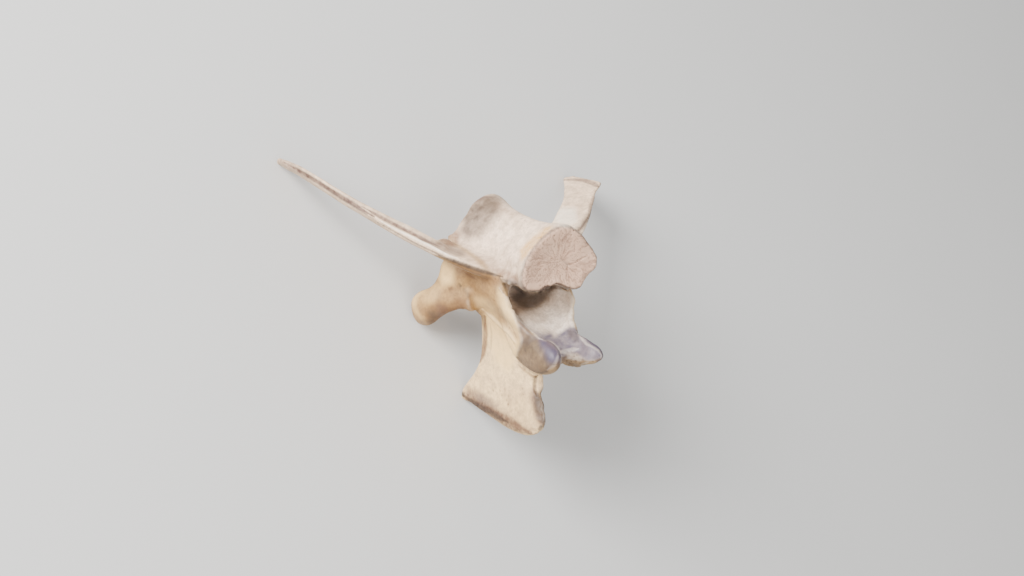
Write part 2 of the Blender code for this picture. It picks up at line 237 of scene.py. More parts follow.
@dataclass(frozen=True)
class PictureView:
    """The camera, fitted to the picture: where it stands, its upright and its lens.

    Attributes:
        place: The camera's place, in the part's metres.
        back: The direction from the bone back to the camera.
        up: The direction of the picture's top.
        focal_px: Focal length in pixels of the picture.
    """

    place: tuple[float, float, float] = (0.06143, -0.19900, 0.29427)
    back: tuple[float, float, float] = (0.17826, -0.59636, 0.78267)
    up: tuple[float, float, float] = (-0.97234, 0.01524, 0.23307)
    focal_px: float = 1074.83

    def axes(self) -> np.ndarray:
        """Rows of right, up and back, square to each other.

        Returns:
            A 3 by 3 array.
        """
        back = Vector(self.back).normalized()
        right = Vector(self.up).cross(back).normalized()
        return np.array([right, back.cross(right), back])

    def rays(self, pixels: np.ndarray) -> np.ndarray:
        """Unit vectors from the camera through rows of x and y in the picture.

        Args:
            pixels: Rows of x and y in the picture.

        Returns:
            Rows of directions, in the part's frame.
        """
        x = (pixels[:, 0] - PICTURE_WIDTH / 2) / self.focal_px
        y = (PICTURE_HEIGHT / 2 - pixels[:, 1]) / self.focal_px
        rays = np.column_stack([x, y, -np.ones(len(x))]) @ self.axes()
        return rays / np.linalg.norm(rays, axis=1, keepdims=True)

    def project(self, metres: np.ndarray) -> np.ndarray:
        """Where places in the part's frame show in the picture, in pixels.

        Args:
            metres: Rows of places in the part's frame.

        Returns:
            Rows of x and y.
        """
        seen = (metres - np.array(self.place)) @ self.axes().T
        x = PICTURE_WIDTH / 2 + self.focal_px * seen[:, 0] / -seen[:, 2]
        y = PICTURE_HEIGHT / 2 - self.focal_px * seen[:, 1] / -seen[:, 2]
        return np.column_stack([x, y])


ANATOMY = AnatomicalFrame()
VIEW = PictureView()


@dataclass(frozen=True)
class Stroke:
    """A crest or a groove drawn over the bone, which may also stain it.

    Attributes:
        seen: Its path in the picture's pixels.
        mask: The mask that it paints, or None.
        strength: How strongly it paints.
        width_mm: How far from the path its effect fades out.
        height_mm: How high the crest stands, negative for a groove.
        mirrored: Whether the other side of the bone has it too.
    """

    seen: Pixels
    mask: Mask | None = None
    strength: float = 1.0
    width_mm: float = 1.0
    height_mm: float = 0.0
    mirrored: bool = True


@dataclass(frozen=True)
class Patch:
    """An area of the bone inside an outline drawn in the picture.

    Attributes:
        outline: Its corners in the picture's pixels.
        mask: The mask that it paints, or None.
        strength: How strongly it paints.
        soft_px: How softly its edge fades.
        height_mm: How far it is raised, negative where it is sunk.
        flatness: How far it is pressed flat, up to 1.
        mirrored: Whether the other side of the bone has it too.
    """

    outline: Pixels
    mask: Mask | None = None
    strength: float = 1.0
    soft_px: float = 5.0
    height_mm: float = 0.0
    flatness: float = 0.0
    mirrored: bool = True


@dataclass(frozen=True)
class Drag:
    """A soft pull on the bone, from a line in the picture towards another.

    Attributes:
        seen: The line that is pulled, in the picture's pixels.
        shifts_px: How far each place of the line moves in the picture, to the right and down,
            or one shift for all of them.
        nearer_mm: How far it moves towards the camera.
        reach_mm: How far from the line the pull fades out.
        depth_share: How much of a distance in depth counts towards the reach.
        mirrored: Whether the other side of the bone is pulled too.
    """

    seen: Pixels
    shifts_px: Pixels = ((0, 0),)
    nearer_mm: float = 0.0
    reach_mm: float = 4.0
    depth_share: float = 1.0
    mirrored: bool = False


# Small corrections of the bone's outline
DRAGS = (
    # Blade of the near transverse process, a little thicker along its upper side
    Drag(((279, 163), (296, 168), (314, 179), (332, 190), (345, 198), (370, 212), (392, 224),
          (410, 233), (425, 240), (442, 247)),
         ((-1, -3), (1, -3), (1, -3), (1.2, -3.2), (1.5, -3.8), (1.5, -4.6), (1.8, -5.6), (1.8, -6),
          (1.6, -5.4), (1, -3.4)), reach_mm=2.8, mirrored=True),
    # Front rim of the body, hollower, and its corner over the root of the blade
    Drag(((460, 212), (453, 222), (450, 230)), ((3.0, 1.0),), reach_mm=5.0),
    Drag(((442, 244), (446, 244), (450, 242.5), (454, 239)),
         ((-0.5, -2.5), (-0.5, -5.5), (-0.5, -6.5), (-1.5, -2)), reach_mm=4.2),
    Drag(((452, 235), (450.5, 237.5), (449, 240)), ((-1, 0), (-2, 0.5), (-2.5, 1)), reach_mm=3.0),
    # Lower front corner of the arch, and the front tip of the spinous process
    Drag(((458, 306), (466, 304.5), (473, 304), (478, 305)),
         ((0, 1), (0, 3.5), (0, 6.5), (0, 8)), reach_mm=5.5, depth_share=0.5),
    Drag(((471, 295), (472, 302), (473, 308)), nearer_mm=0.75, reach_mm=3.2),
    Drag(((464, 391), (465, 396)), ((-3.0, 1.0),)),
    # Upright edge of the far lamina
    Drag(((565, 291), (567, 300)), ((5.5, -0.5),), reach_mm=4.5),
    Drag(((575, 319), (578, 326), (582, 332)), ((-4.5, 0.5),), reach_mm=4.5),
    # Underside and tip of the far rear joint process
    Drag(((572, 368.5), (577, 369.5), (583, 370), (588, 369.6), (593, 368.6), (599, 365.4)),
         ((0, -0.5), (0, -1.5), (0, -4.5), (0, -7), (0, -6.5), (0, -4)), depth_share=0.35),
    # Edge of the near lamina along the canal
    Drag(((521, 319), (529, 326), (538, 336)), ((-2.0, 2.0),), reach_mm=3.0),
    # Front upper edge of the arch
    Drag(((437, 262), (433, 272), (428, 281), (419, 289)),
         ((2.5, 0), (5.2, 1.5), (4.4, 2.8), (1.8, 2.2)), reach_mm=5.5, depth_share=0.6),
    # Rear edge of the spinous process under the joints
    Drag(((538, 379), (538.5, 386)), ((5.0, 0.0),), reach_mm=3.0),
    # Web between the rear joint processes, fuller
    Drag(((563, 358), (570, 361)), nearer_mm=1.4, reach_mm=3.0),
    # Right and lower right of the rear end face
    Drag(((590, 241), (592, 249), (592, 257), (591, 264)),
         ((-1, 0), (1, 0), (4.5, 0.5), (4.5, 0.5))),
    Drag(((588, 281), (593, 275)), ((-2.5, -2.0),), reach_mm=3.5),
)

# Place in the picture, width, depth and strength of stain of each small pit, and its length
PITS = (
    (508.2, 404.2, 0.6, 0.2, 0.8), (506.6, 400.4, 0.5, 0.2, 0.7), (500.2, 390.6, 0.5, 0.2, 0.6),
    (502, 395, 0.45, 0.15, 0.55), (508.4, 396, 0.45, 0.15, 0.5), (505, 389, 0.45, 0.15, 0.5),
)
PIT_LENGTH = (0.2, 0.4)

# Crests, grooves and lines of stain
STROKES = (
    # Pale outer crest of the near lamina, on to the outer border of its joint face
    Stroke(((499, 288), (506.7, 298), (512, 309), (515.5, 318), (518.5, 330), (520.8, 338),
            (520.6, 344), (517.5, 352), (515.8, 360)), Mask.PALE, 0.15, height_mm=0.28),
    # Ridge from the arch's lower border down the side of the lamina, with its brown line
    Stroke(((482, 309), (494.5, 320), (506.7, 332), (515, 342)), Mask.PALE, 0.12, width_mm=1.6,
           height_mm=0.3),
    Stroke(((497, 325), (507, 333.5), (513, 341), (516.5, 348)), Mask.RUST, 0.5, width_mm=0.5,
           height_mm=-0.15),
    Stroke(((507, 318), (513.5, 330), (518, 341)), Mask.RUST, 0.4, width_mm=0.45, height_mm=-0.12),
    # Thin light edge of the roof of the canal
    Stroke(((516.5, 315), (521, 321), (526.5, 326.5), (532.5, 332), (539, 338), (546, 341)),
           Mask.PALE, 0.3, width_mm=0.6, height_mm=0.2, mirrored=False),
    # Border of the near rear joint face, down to the spinous process and up its inner side
    Stroke(((515.8, 360), (521.7, 366.7), (532.8, 374), (541, 375), (547, 372), (555, 366.5),
            (559, 356), (557.5, 350), (552, 344.5)), width_mm=0.8, height_mm=0.1),
    Stroke(((558.5, 353), (557, 360), (553, 366), (547, 370)), Mask.PALE, 0.15, width_mm=0.7),
    Stroke(((518, 364.5), (524, 370), (533, 376.4), (538, 377.5)), Mask.OCHRE, 0.6, width_mm=0.7,
           height_mm=-0.1),
    # Painted shadow under the lower edge of the joint face, and painted shade along its rounded
    # inner border
    Stroke(((541, 373.5), (547, 371.5)), Mask.SOOT_AND_SHADOW, 0.7, width_mm=0.6),
    Stroke(((553, 344.5), (558, 350), (559, 355)), Mask.DARK, 0.2, width_mm=0.6),
    # Light crest over the root of the far rear joint process, and its thin rims
    Stroke(((560, 352.5), (568, 350.5), (578, 348.6)), Mask.PALE, 0.3, width_mm=1.5, height_mm=0.2,
           mirrored=False),
    Stroke(((576, 331), (581, 338), (586, 343.5), (592, 346), (599, 350), (602, 355), (601, 360)),
           Mask.PALE, 0.3, width_mm=0.7, height_mm=0.15, mirrored=False),
    Stroke(((568, 331), (574, 336), (578, 341)), Mask.UMBER, 0.6, width_mm=2.0, mirrored=False),
    Stroke(((580, 366), (584, 363.5), (589, 361.8)), Mask.PALE, 0.25, width_mm=0.6, mirrored=False),
    # Edge of the transverse process that faces the tail: a rosy groove between light lines,
    # then a white crest over a dark line of painted shadow under the blade
    Stroke(((284, 162.5), (294.4, 168.4), (305.6, 174.6), (320, 183.3), (332.2, 191.1),
            (342.2, 197.3), (353.3, 204), (364.4, 211.2), (374.4, 217)), Mask.ROSE, width_mm=1.15,
           height_mm=-0.35),
    Stroke(((322, 186), (332.2, 192.6), (342.2, 199.4), (353.3, 206), (364.4, 213.4), (376, 220.4)),
           Mask.UMBER, 0.6, width_mm=0.5, height_mm=-0.1),
    Stroke(((362, 206.5), (376, 214.6), (392.2, 223.4), (408.9, 231.8), (425.6, 240.4), (440, 247)),
           Mask.ROSE, 0.9, width_mm=0.9, height_mm=-0.25),
    Stroke(((376.7, 218.6), (384.4, 223.1), (394.4, 228.6), (413.3, 237.6), (423.3, 242.6),
            (430, 245.4), (441.2, 251.6), (450, 256), (458, 258)), Mask.PALE, width_mm=0.6,
           height_mm=0.3),
    # Painted shadow under the blade's edge, where it overhangs the arch
    Stroke(((376, 221.4), (392.2, 230.4), (414.4, 243), (425.6, 248.4), (442.2, 255.8),
            (449, 259.4)), Mask.UMBER, 0.8, width_mm=0.45, height_mm=-0.3),
    Stroke(((436, 253.5), (444, 258), (455, 261.5), (466.7, 266), (480, 270.5), (492, 274),
            (503, 277)), Mask.UMBER, 0.95, height_mm=-0.15),
    # Painted shadow along the rear edge of the near pedicle and round the hollow behind it
    Stroke(((499, 277), (502.5, 282), (505.5, 288), (508, 295), (510.5, 302)), Mask.UMBER, 0.7,
           width_mm=0.8, mirrored=False),
    Stroke(((502, 279), (508, 281.5), (513, 285), (518, 289.5), (523, 293.5)), Mask.UMBER, 0.6,
           width_mm=0.9, mirrored=False),
    # Spots and streaks of the arch
    Stroke(((459.6, 284.4), (460.6, 285.8)), Mask.UMBER, 0.75, width_mm=0.7, height_mm=-0.15),
    Stroke(((449.5, 289.5), (451.5, 288.5)), Mask.RUST, 0.5, width_mm=0.8),
    Stroke(((464, 290), (469, 296)), Mask.UMBER, 0.4, width_mm=0.9),
    Stroke(((464, 272), (470, 276), (477, 280)), Mask.RUST, 0.6, width_mm=0.6),
    # Brown along the lower edge of the arch, partly painted shade
    Stroke(((447, 310), (456, 308), (466, 307.4)), Mask.OCHRE, 0.9),
    Stroke(((473, 311), (477, 313)), Mask.PALE, 0.3, width_mm=0.9, height_mm=0.15),
    Stroke(((441.6, 317), (441.8, 320.5)), Mask.PALE, width_mm=1.1, height_mm=0.3),
    # Orange streaks down the front edge of the spinous process
    Stroke(((485, 316), (485.5, 330), (485, 342), (483, 352), (480, 362)), Mask.OCHRE, 1.1,
           width_mm=2.4),
    Stroke(((490, 323), (491.5, 333), (491, 350)), Mask.ROSE, 0.4, width_mm=0.8),
    # Rusty border of the spinous process, and the black spots at its corners
    Stroke(((463.5, 395.5), (468, 400), (477, 406.2), (488, 411.8), (499.4, 418), (510.6, 424.2),
            (521.7, 430), (530.6, 433)), Mask.RUST, 1.15, width_mm=3.0, height_mm=0.1),
    Stroke(((462, 393.4), (463, 395.4)), Mask.SOOT_AND_SHADOW, width_mm=1.1),
    Stroke(((541, 426.5), (539.4, 429.6)), Mask.SOOT_AND_SHADOW, 0.9, width_mm=0.8),
    Stroke(((466, 397.5), (472, 401.5), (480, 407), (490, 412), (499, 417.6), (508, 422.4)),
           Mask.UMBER, 0.85, width_mm=1.7),
    Stroke(((508, 421), (516, 426), (524, 430)), Mask.OCHRE, 0.7, width_mm=1.6),
    # Rear edge of the spinous process: its dark groove, brown with painted shade, and a pale line
    # lower down
    Stroke(((538, 375.5), (535.6, 378), (534.6, 384), (534.8, 390), (537, 396)), Mask.UMBER, 0.75,
           width_mm=0.9, height_mm=-0.6),
    Stroke(((541.5, 400), (543.5, 409), (544.5, 418), (542.5, 424)), Mask.PALE, 0.2, width_mm=0.5),
    # Small pits on the side of the spinous process
    *(Stroke(((x, y), (x + PIT_LENGTH[0], y + PIT_LENGTH[1])), Mask.RUST, strength,
             width_mm=width, height_mm=-depth, mirrored=False)
      for x, y, width, depth, strength in PITS),
    # Bevelled lip under the notch of the rear end face, brown with stain and painted shade
    Stroke(((538, 293), (545, 289), (554, 286.5), (562, 287.6), (568, 290)), Mask.UMBER, 0.8,
           width_mm=1.2, height_mm=-0.7, mirrored=False),
    # Branching furrow of the rear end face
    Stroke(((560.4, 256.7), (564, 261), (568.3, 265), (575, 263.3), (581.7, 259.2), (587.5, 255.8)),
           Mask.RIDGE, 0.9, width_mm=0.5, height_mm=-0.3, mirrored=False),
    Stroke(((568.3, 265), (567.5, 270.8)), Mask.RIDGE, 0.8, width_mm=0.45, height_mm=-0.25,
           mirrored=False),
    Stroke(((539, 261.7), (542.5, 268.3), (536.7, 272.5)), Mask.RIDGE, 0.7, width_mm=0.45,
           height_mm=-0.2, mirrored=False),
    # Rosy rims of the body's front end and of the far blade's tip
    Stroke(((457.8, 225), (463, 216), (468, 208.5), (474.4, 202), (483.3, 197), (496, 197)),
           Mask.ROSE, 0.7, width_mm=1.1, mirrored=False),
    Stroke(((563, 180), (572, 179.5), (584, 180.5), (594, 184), (600, 188)), Mask.ROSE, 0.75,
           width_mm=1.8, mirrored=False),
    Stroke(((599, 187.5), (596.5, 192), (594.6, 200), (592.6, 212)), Mask.ROSE, 0.6, width_mm=1.2,
           mirrored=False),
)

# Areas of stain, and areas that are sunk or pressed flat
PATCHES = (
    # Creamy side and top of the near lamina, and strip along its rear edge
    Patch(((484, 312), (492, 314), (508, 330), (519, 343), (515, 362), (508, 372), (494, 360),
           (489, 340)), Mask.CREAM, 0.9, soft_px=8.0),
    Patch(((497, 288), (504, 296), (510, 306), (516, 319), (519, 334), (512, 330), (506, 318),
           (499, 302)), Mask.CREAM, 0.8),
    Patch(((472, 298), (482, 296), (494, 306), (498, 320), (486, 314), (476, 306)), Mask.CREAM,
          0.45, soft_px=8.0),
    # Near rear joint face: brown on its outer part, blue on its inner one
    Patch(((521.5, 341), (517, 353), (516.5, 360), (523, 367), (533, 373.5), (541, 374.5),
           (547, 371.5), (555, 365.5), (558.5, 355.5), (556, 348.5), (549, 343), (538, 338.5),
           (530, 334)), Mask.BROWN, soft_px=2.2, height_mm=-0.13),
    Patch(((521.5, 341), (517, 353), (516.5, 360), (523, 367), (533, 373.5), (541, 372), (541, 356),
           (533, 340)), soft_px=4.0, flatness=0.5),
    Patch(((535, 333), (541, 347), (545, 356), (549, 365), (558, 364), (566, 354), (561, 343),
           (550, 334)), Mask.BLUE, 1.1, soft_px=9.0),
    Patch(((524, 368), (535, 374), (546, 373), (550, 369), (538, 366)), Mask.OCHRE, 0.5,
          soft_px=4.0),
    Patch(((518, 343), (529, 337), (538, 341), (542, 352), (534, 355), (518, 353)), Mask.UMBER,
          0.42, soft_px=7.0),
    Patch(((541, 352), (548, 355), (554, 365), (548, 374), (540, 370)), Mask.UMBER, 0.25),
    Patch(((545, 375), (549, 366), (558, 361), (561, 367), (553, 374)), Mask.RUST, 0.35,
          soft_px=4.0),
    # Grey band up the edge of the near lamina
    Patch(((514.5, 306), (519.4, 316), (524.5, 324.4), (531, 332), (538, 338.5), (529, 345),
           (521, 344), (521, 337), (518.5, 327), (514.5, 315)), Mask.GREY, 0.95, soft_px=1.6,
          height_mm=-0.15, mirrored=False),
    # Blue-grey of the roof's rear border and of the far rear joint process
    Patch(((541, 341), (553, 338), (563, 331), (570, 326), (576, 328), (583, 336), (584, 347),
           (578, 353), (562, 353), (556, 347)), Mask.BLUE, 1.05, mirrored=False),
    Patch(((580, 333), (591, 341), (600, 347), (605, 355), (600, 360), (588, 361), (576, 353)),
          Mask.BLUE, 0.95, mirrored=False),
    Patch(((541, 341), (553, 338), (563, 331), (570, 326), (576, 328), (580, 334), (572, 345),
           (562, 352), (556, 347)), Mask.BLUE, 0.5),
    Patch(((580, 338), (592, 343), (603, 352), (602, 358), (588, 359), (578, 352)), Mask.ROSE, 0.45,
          height_mm=-0.3, mirrored=False),
    # Crumbly web between the rear joint processes
    Patch(((558, 353), (568, 351.5), (580, 351), (588, 357), (583, 370), (566, 370), (556, 371)),
          Mask.BROWN, 0.75, soft_px=3.0, mirrored=False),
    Patch(((559, 353), (568, 352), (580, 352), (584, 360), (580, 369), (566, 369), (558, 370)),
          Mask.POROUS, soft_px=3.0, mirrored=False),
    # Painted shade in the hollow behind the near pedicle, and painted shade for the dark inside of
    # the canal
    Patch(((503, 280), (509, 279), (518, 281), (527, 289), (527, 297), (515, 303), (509, 294)),
          Mask.HOLLOW_SHADE, 0.9, soft_px=3.0),
    Patch(((511, 296), (516, 307), (527, 311), (539, 307), (548, 299), (556, 289), (548, 286),
           (536, 292), (528, 294), (522, 288)), Mask.DARK, 0.85, soft_px=8.0, mirrored=False),
    # Rosy edge of the far lamina
    Patch(((562, 291), (574, 290), (576, 326), (569, 324), (565, 308)), Mask.ROSE, 0.1, soft_px=6.0,
          mirrored=False),
    # Brown-grey cloud near the front of the keel, and its tan edge
    Patch(((464, 213), (474, 202), (486, 195), (499, 195), (503, 205), (499, 216), (489, 226),
           (481, 236), (466, 240), (458, 228)), Mask.SHADE, soft_px=16.0, mirrored=False),
    Patch(((462, 212), (472, 202), (484, 194), (497, 194), (502, 204), (498, 215), (490, 220),
           (480, 222), (470, 228), (460, 230)), Mask.SHADE, soft_px=10.0, mirrored=False),
    Patch(((481, 206), (490, 199), (497, 201), (496, 212), (486, 214)), Mask.BROWN, 0.5,
          soft_px=6.0, mirrored=False),
    Patch(((497, 200), (506, 206), (516, 213), (514, 217), (503, 213), (496, 208)), Mask.OCHRE,
          0.35, mirrored=False),
    # Orange-brown corner of the body over the root of the near blade
    Patch(((437, 244), (442, 233), (452, 226), (460, 235), (456, 247)), Mask.OCHRE, 1.15),
    # Tan lower side of the body, with painted shade making it browner where it runs into the arch
    Patch(((470, 257), (495, 260), (518, 260), (524, 287), (505, 279), (485, 272)), Mask.OCHRE, 0.4,
          soft_px=14.0),
    Patch(((488, 268), (504, 268), (519, 274), (524, 288), (512, 284), (500, 278)), Mask.OCHRE, 0.9,
          soft_px=6.0),
    # Creamy, porous strip along the rear rim of the body
    Patch(((521, 262), (520, 250), (526, 243), (534, 236), (544, 228), (552, 225), (552, 229),
           (544, 236), (535, 247), (528, 255)), Mask.YELLOW, 0.9, soft_px=4.0),
    Patch(((523, 258), (522, 250), (530, 241), (540, 232), (550, 227), (546, 232), (536, 243),
           (528, 253)), Mask.POROUS, 0.5, soft_px=2.0),
    # Lower face of the blade's root, painted in the arch's tan as shade, and painted shade on the
    # arch under it
    Patch(((434, 254.5), (442, 257), (449, 259.6), (463, 263.8), (478, 268.6), (496, 274),
           (503, 278), (487, 280), (477, 277), (459, 271), (441, 262.5), (433, 257.5)), Mask.ARCH,
          soft_px=1.2),
    Patch(((440, 257), (455, 262), (470, 266), (488, 273), (502, 277), (500, 286), (486, 283),
           (470, 279), (455, 271)), Mask.OCHRE, 0.7, soft_px=6.0),
    Patch(((441, 259), (448, 262), (455, 270), (453, 284), (442, 285), (438, 276)), Mask.CREAM,
          soft_px=8.0),
    # Rosy tip of the near blade
    Patch(((275, 157), (283, 156), (293, 162), (302, 168), (303, 175), (290, 172), (277, 167)),
          Mask.ROSE, 0.6, soft_px=4.0),
    # Painted grey shade on the upper side of the near blade at its root, and the bright root of the
    # far one
    Patch(((418, 236), (430, 240), (446, 245), (464, 250), (466, 257), (452, 255), (436, 248),
           (420, 241)), Mask.GREY, 0.7, soft_px=4.0),
    Patch(((552, 221), (560, 208), (575, 208), (578, 222), (568, 227)), Mask.PALE, 0.8,
          soft_px=6.0),
    # Rosier right side of the rear end face
    Patch(((582, 236), (593, 243), (598, 258), (591, 270), (581, 262)), Mask.GREY, 0.3, soft_px=9.0,
          mirrored=False),
    # Near front joint process: cream above, brown at its tip, with a grey spot and painted shade
    # below
    Patch(((418, 288), (432, 280), (443, 285), (437, 300), (424, 305)), Mask.CREAM, 0.35,
          soft_px=8.0),
    Patch(((426, 312), (430, 304), (438, 302), (449, 306), (446, 313), (441, 322), (433, 325),
           (426, 321)), Mask.OCHRE, 0.9),
    Patch(((427, 312), (432, 310), (437, 313), (436, 319), (430, 319)), Mask.BROWN, 0.85,
          soft_px=3.0),
    Patch(((426, 321), (432, 319), (439, 320), (438, 326), (430, 326)), Mask.UMBER, 0.6,
          soft_px=3.0),
    Patch(((437, 303), (443, 305), (449, 307), (444, 315), (439, 318), (436, 310)), Mask.ROSE, 0.55,
          soft_px=4.0),
    Patch(((412, 302), (414, 292), (424, 287), (432, 282), (428, 290), (418, 297), (416, 308),
           (424, 320), (420, 318), (412, 308)), Mask.CREAM, 0.7, soft_px=4.0),
    # Brown along the lower edge of the arch, partly painted shade
    Patch(((446, 313), (448, 304), (456, 299.5), (468, 298.5), (466, 307), (455, 312)), Mask.OCHRE,
          0.9),
    # Tan lower part of the spinous process, and the clouds near its border
    Patch(((503, 392), (536, 392), (542, 425), (530, 434), (503, 420)), Mask.OCHRE, 0.3,
          soft_px=18.0),
    Patch(((463, 393), (468, 386), (478, 392), (492, 404), (506, 416), (500, 420), (484, 411),
           (470, 403)), Mask.ROSE, 0.8, soft_px=9.0),
    Patch(((474, 392), (484, 394), (493, 400), (502, 408), (490, 408), (478, 402)), Mask.GREY, 0.6,
          soft_px=7.0),
    Patch(((500, 408), (512, 416), (524, 424), (534, 430), (530, 434), (515, 427), (500, 418)),
          Mask.ROSE, 0.4, soft_px=6.0),
    # Rear edge of the spinous process, rosy brown and darkest at its top
    Patch(((532, 388), (538, 392), (545, 405), (548, 420), (543, 427), (537, 421), (534, 410),
           (531, 400)), Mask.ROSE, soft_px=4.0),
    Patch(((535, 392), (539, 394), (544, 406), (546, 419), (541, 424), (534, 410)), Mask.BROWN, 1.1,
          soft_px=4.0),
    Patch(((533, 390), (538, 391), (542, 403), (537, 406)), Mask.UMBER, 0.25),
)


@dataclass(frozen=True)
class Region:
    """A part of the bone between soft limits in anatomical millimetres.

    Each limit says where the region has no share yet, and where it has its full one.

    Attributes:
        x: Limits along the body, towards the tail.
        ends: Limits of the distance from the middle of the body, towards either end.
        side: Limits of the distance from the middle plane.
        z: Limits of the height.
    """

    x: tuple[Span, ...] = ()
    ends: tuple[Span, ...] = ()
    side: tuple[Span, ...] = ()
    z: tuple[Span, ...] = ()

    def share(self, points: np.ndarray) -> np.ndarray:
        """How far each point belongs to the region, from 0 to 1.

        Args:
            points: Places in anatomical millimetres.

        Returns:
            One number for each point.
        """
        x, y, z = points.T
        share = np.ones(len(points))
        for values, limits in ((x, self.x), (np.abs(x), self.ends), (np.abs(y), self.side),
                               (z, self.z)):
            for limit in limits:
                share = share * smoothstep(values, limit)
        return share


@dataclass(frozen=True)
class Landmarks:
    """The parts of the bone that differ in colour or wear.

    Attributes:
        body: The vertebral body.
        blade: Both transverse processes.
        spine_root: The rising foot of the spinous process.
        spine_plate: The rest of the spinous process.
        spine_border: Its porous edge, and how many of the pores it has.
        end_face: The end faces of the body, and how squarely they face the front or the tail.
        web: The crumbly web between the rear joint processes.
        knuckle: The tips of the front joint processes, and how ochre they are.
        notch: The notch of the end faces, and how far its floor, darkened with stain and painted
            shade, faces up.
        arch_rear: The rear of the arch, and how much less of the arch's colour it has.
        calm: The parts off the end faces, where edges get a painted highlight and hollows painted
            shade.
        canal_floor: The part of the vertebral canal above its floor.
        canal_axis: The canal's height at its front, where it starts to rise, how long it
            rises, and how steeply.
        canal_facing: How far the canal's wall faces its axis.
        canal_radius: How far from its axis the canal ends.
        pores: The share of pores that all of the bone has.
    """

    body: Region = Region(side=((15.5, 12.5),), z=((9.5, 6.5),))
    blade: Region = Region(side=((12.5, 17.0),), z=((14.0, 10.5),))
    spine_root: Region = Region(x=((24.0, 19.0),), side=((8.0, 5.0),), z=((25.0, 33.0),))
    spine_plate: Region = Region(z=((33.0, 36.0),))
    spine_border: tuple[Region, float] = (Region(z=((52.5, 55.5),)), 0.5)
    end_face: tuple[Region, Span] = (
        Region(ends=((18.3, 18.9),), side=((15.5, 14.8),), z=((11.5, 10.8),)), (0.55, 0.8))
    web: Region = Region(x=((21.0, 23.5), (32.0, 29.0)), side=((8.0, 5.5),), z=((24.5, 26.5),))
    knuckle: tuple[Region, float] = (Region(x=((-17.0, -21.0),), z=((18.0, 22.0),)), 0.12)
    notch: tuple[Region, Span] = (
        Region(ends=((17.2, 18.6),), side=((8.5, 5.0),), z=((5.0, 6.5), (11.5, 10.0))), (0.0, 0.5))
    arch_rear: tuple[Region, float] = (Region(x=((6.0, 14.0),)), 0.35)
    calm: tuple[Region, Region] = (Region(ends=((18.0, 16.5),)), Region(z=((10.5, 12.0),)))
    canal_floor: Region = Region(z=((7.0, 8.2),))
    canal_axis: tuple[float, float, float, float] = (13.8, 13.0, 20.0, 0.35)
    canal_facing: Span = (0.1, 0.4)
    canal_radius: Span = (15.5, 13.5)
    pores: float = 0.012

    def end_faces(self, points: np.ndarray, normals: np.ndarray) -> np.ndarray:
        """How far each point belongs to an end face of the body."""
        region, facing = self.end_face
        return region.share(points) * smoothstep(normals[:, 0] * np.sign(points[:, 0]), facing)

    def canal(self, points: np.ndarray, normals: np.ndarray) -> np.ndarray:
        """How far each point belongs to the wall of the vertebral canal.

        Args:
            points: Places in anatomical millimetres.
            normals: Outward directions there.

        Returns:
            Numbers from 0 to 1.
        """
        height, start, length, slope = self.canal_axis
        x, y, z = points.T
        to_axis = np.column_stack([-y, height + np.clip(x - start, 0, length) * slope - z])
        reach = np.linalg.norm(to_axis, axis=1)
        facing = np.sum(normals[:, 1:] * to_axis, axis=1) / np.maximum(reach, TINY)
        wall = smoothstep(facing, self.canal_facing) * smoothstep(reach, self.canal_radius)
        return wall * self.canal_floor.share(points)

    def quiet(self, points: np.ndarray) -> np.ndarray:
        """How far each point lies off the end faces."""
        return np.clip(sum(region.share(points) for region in self.calm), 0, 1)

    def masks(self, points: np.ndarray, normals: np.ndarray) -> dict[Mask, np.ndarray]:
        """The masks that follow from the bone's anatomy.

        Args:
            points: Places in anatomical millimetres.
            normals: Outward directions there.

        Returns:
            Mask to its numbers.
        """
        body, blade = self.body.share(points), self.blade.share(points)
        spine = np.maximum(self.spine_root.share(points), self.spine_plate.share(points))
        canal = self.canal(points, normals)
        (rear, lighter), (notch, upward) = self.arch_rear, self.notch
        (tip, ochre), (border, porous) = self.knuckle, self.spine_border
        arch = (1 - body) * (1 - blade) * (1 - spine) * (1 - canal)
        return {
            Mask.BODY: body,
            Mask.BLADE: blade * (1 - body),
            Mask.SPINE: spine,
            Mask.CANAL: canal,
            Mask.ARCH: arch * (1 - lighter * rear.share(points)),
            Mask.OCHRE: ochre * tip.share(points),
            Mask.PLATE: self.end_faces(points, normals),
            # Floor of the notch: rusty stain and painted shade
            Mask.RUST: notch.share(points) * smoothstep(normals[:, 2], upward),
            Mask.POROUS: porous * border.share(points) + self.pores,
        }


@dataclass(frozen=True)
class Stain:
    """One layer of colour on the bone.

    Attributes:
        mask: The mask that says where it lies, or None for the whole bone.
        colour: Its sRGB hex colour.
        strength: Its cover where the mask is full.
        mottle_mm: The size of the clouds that break it up.
        mottle_share: How much of it the clouds take away.
    """

    mask: Mask | None
    colour: str
    strength: float = 1.0
    mottle_mm: float = 3.0
    mottle_share: float = 0.0


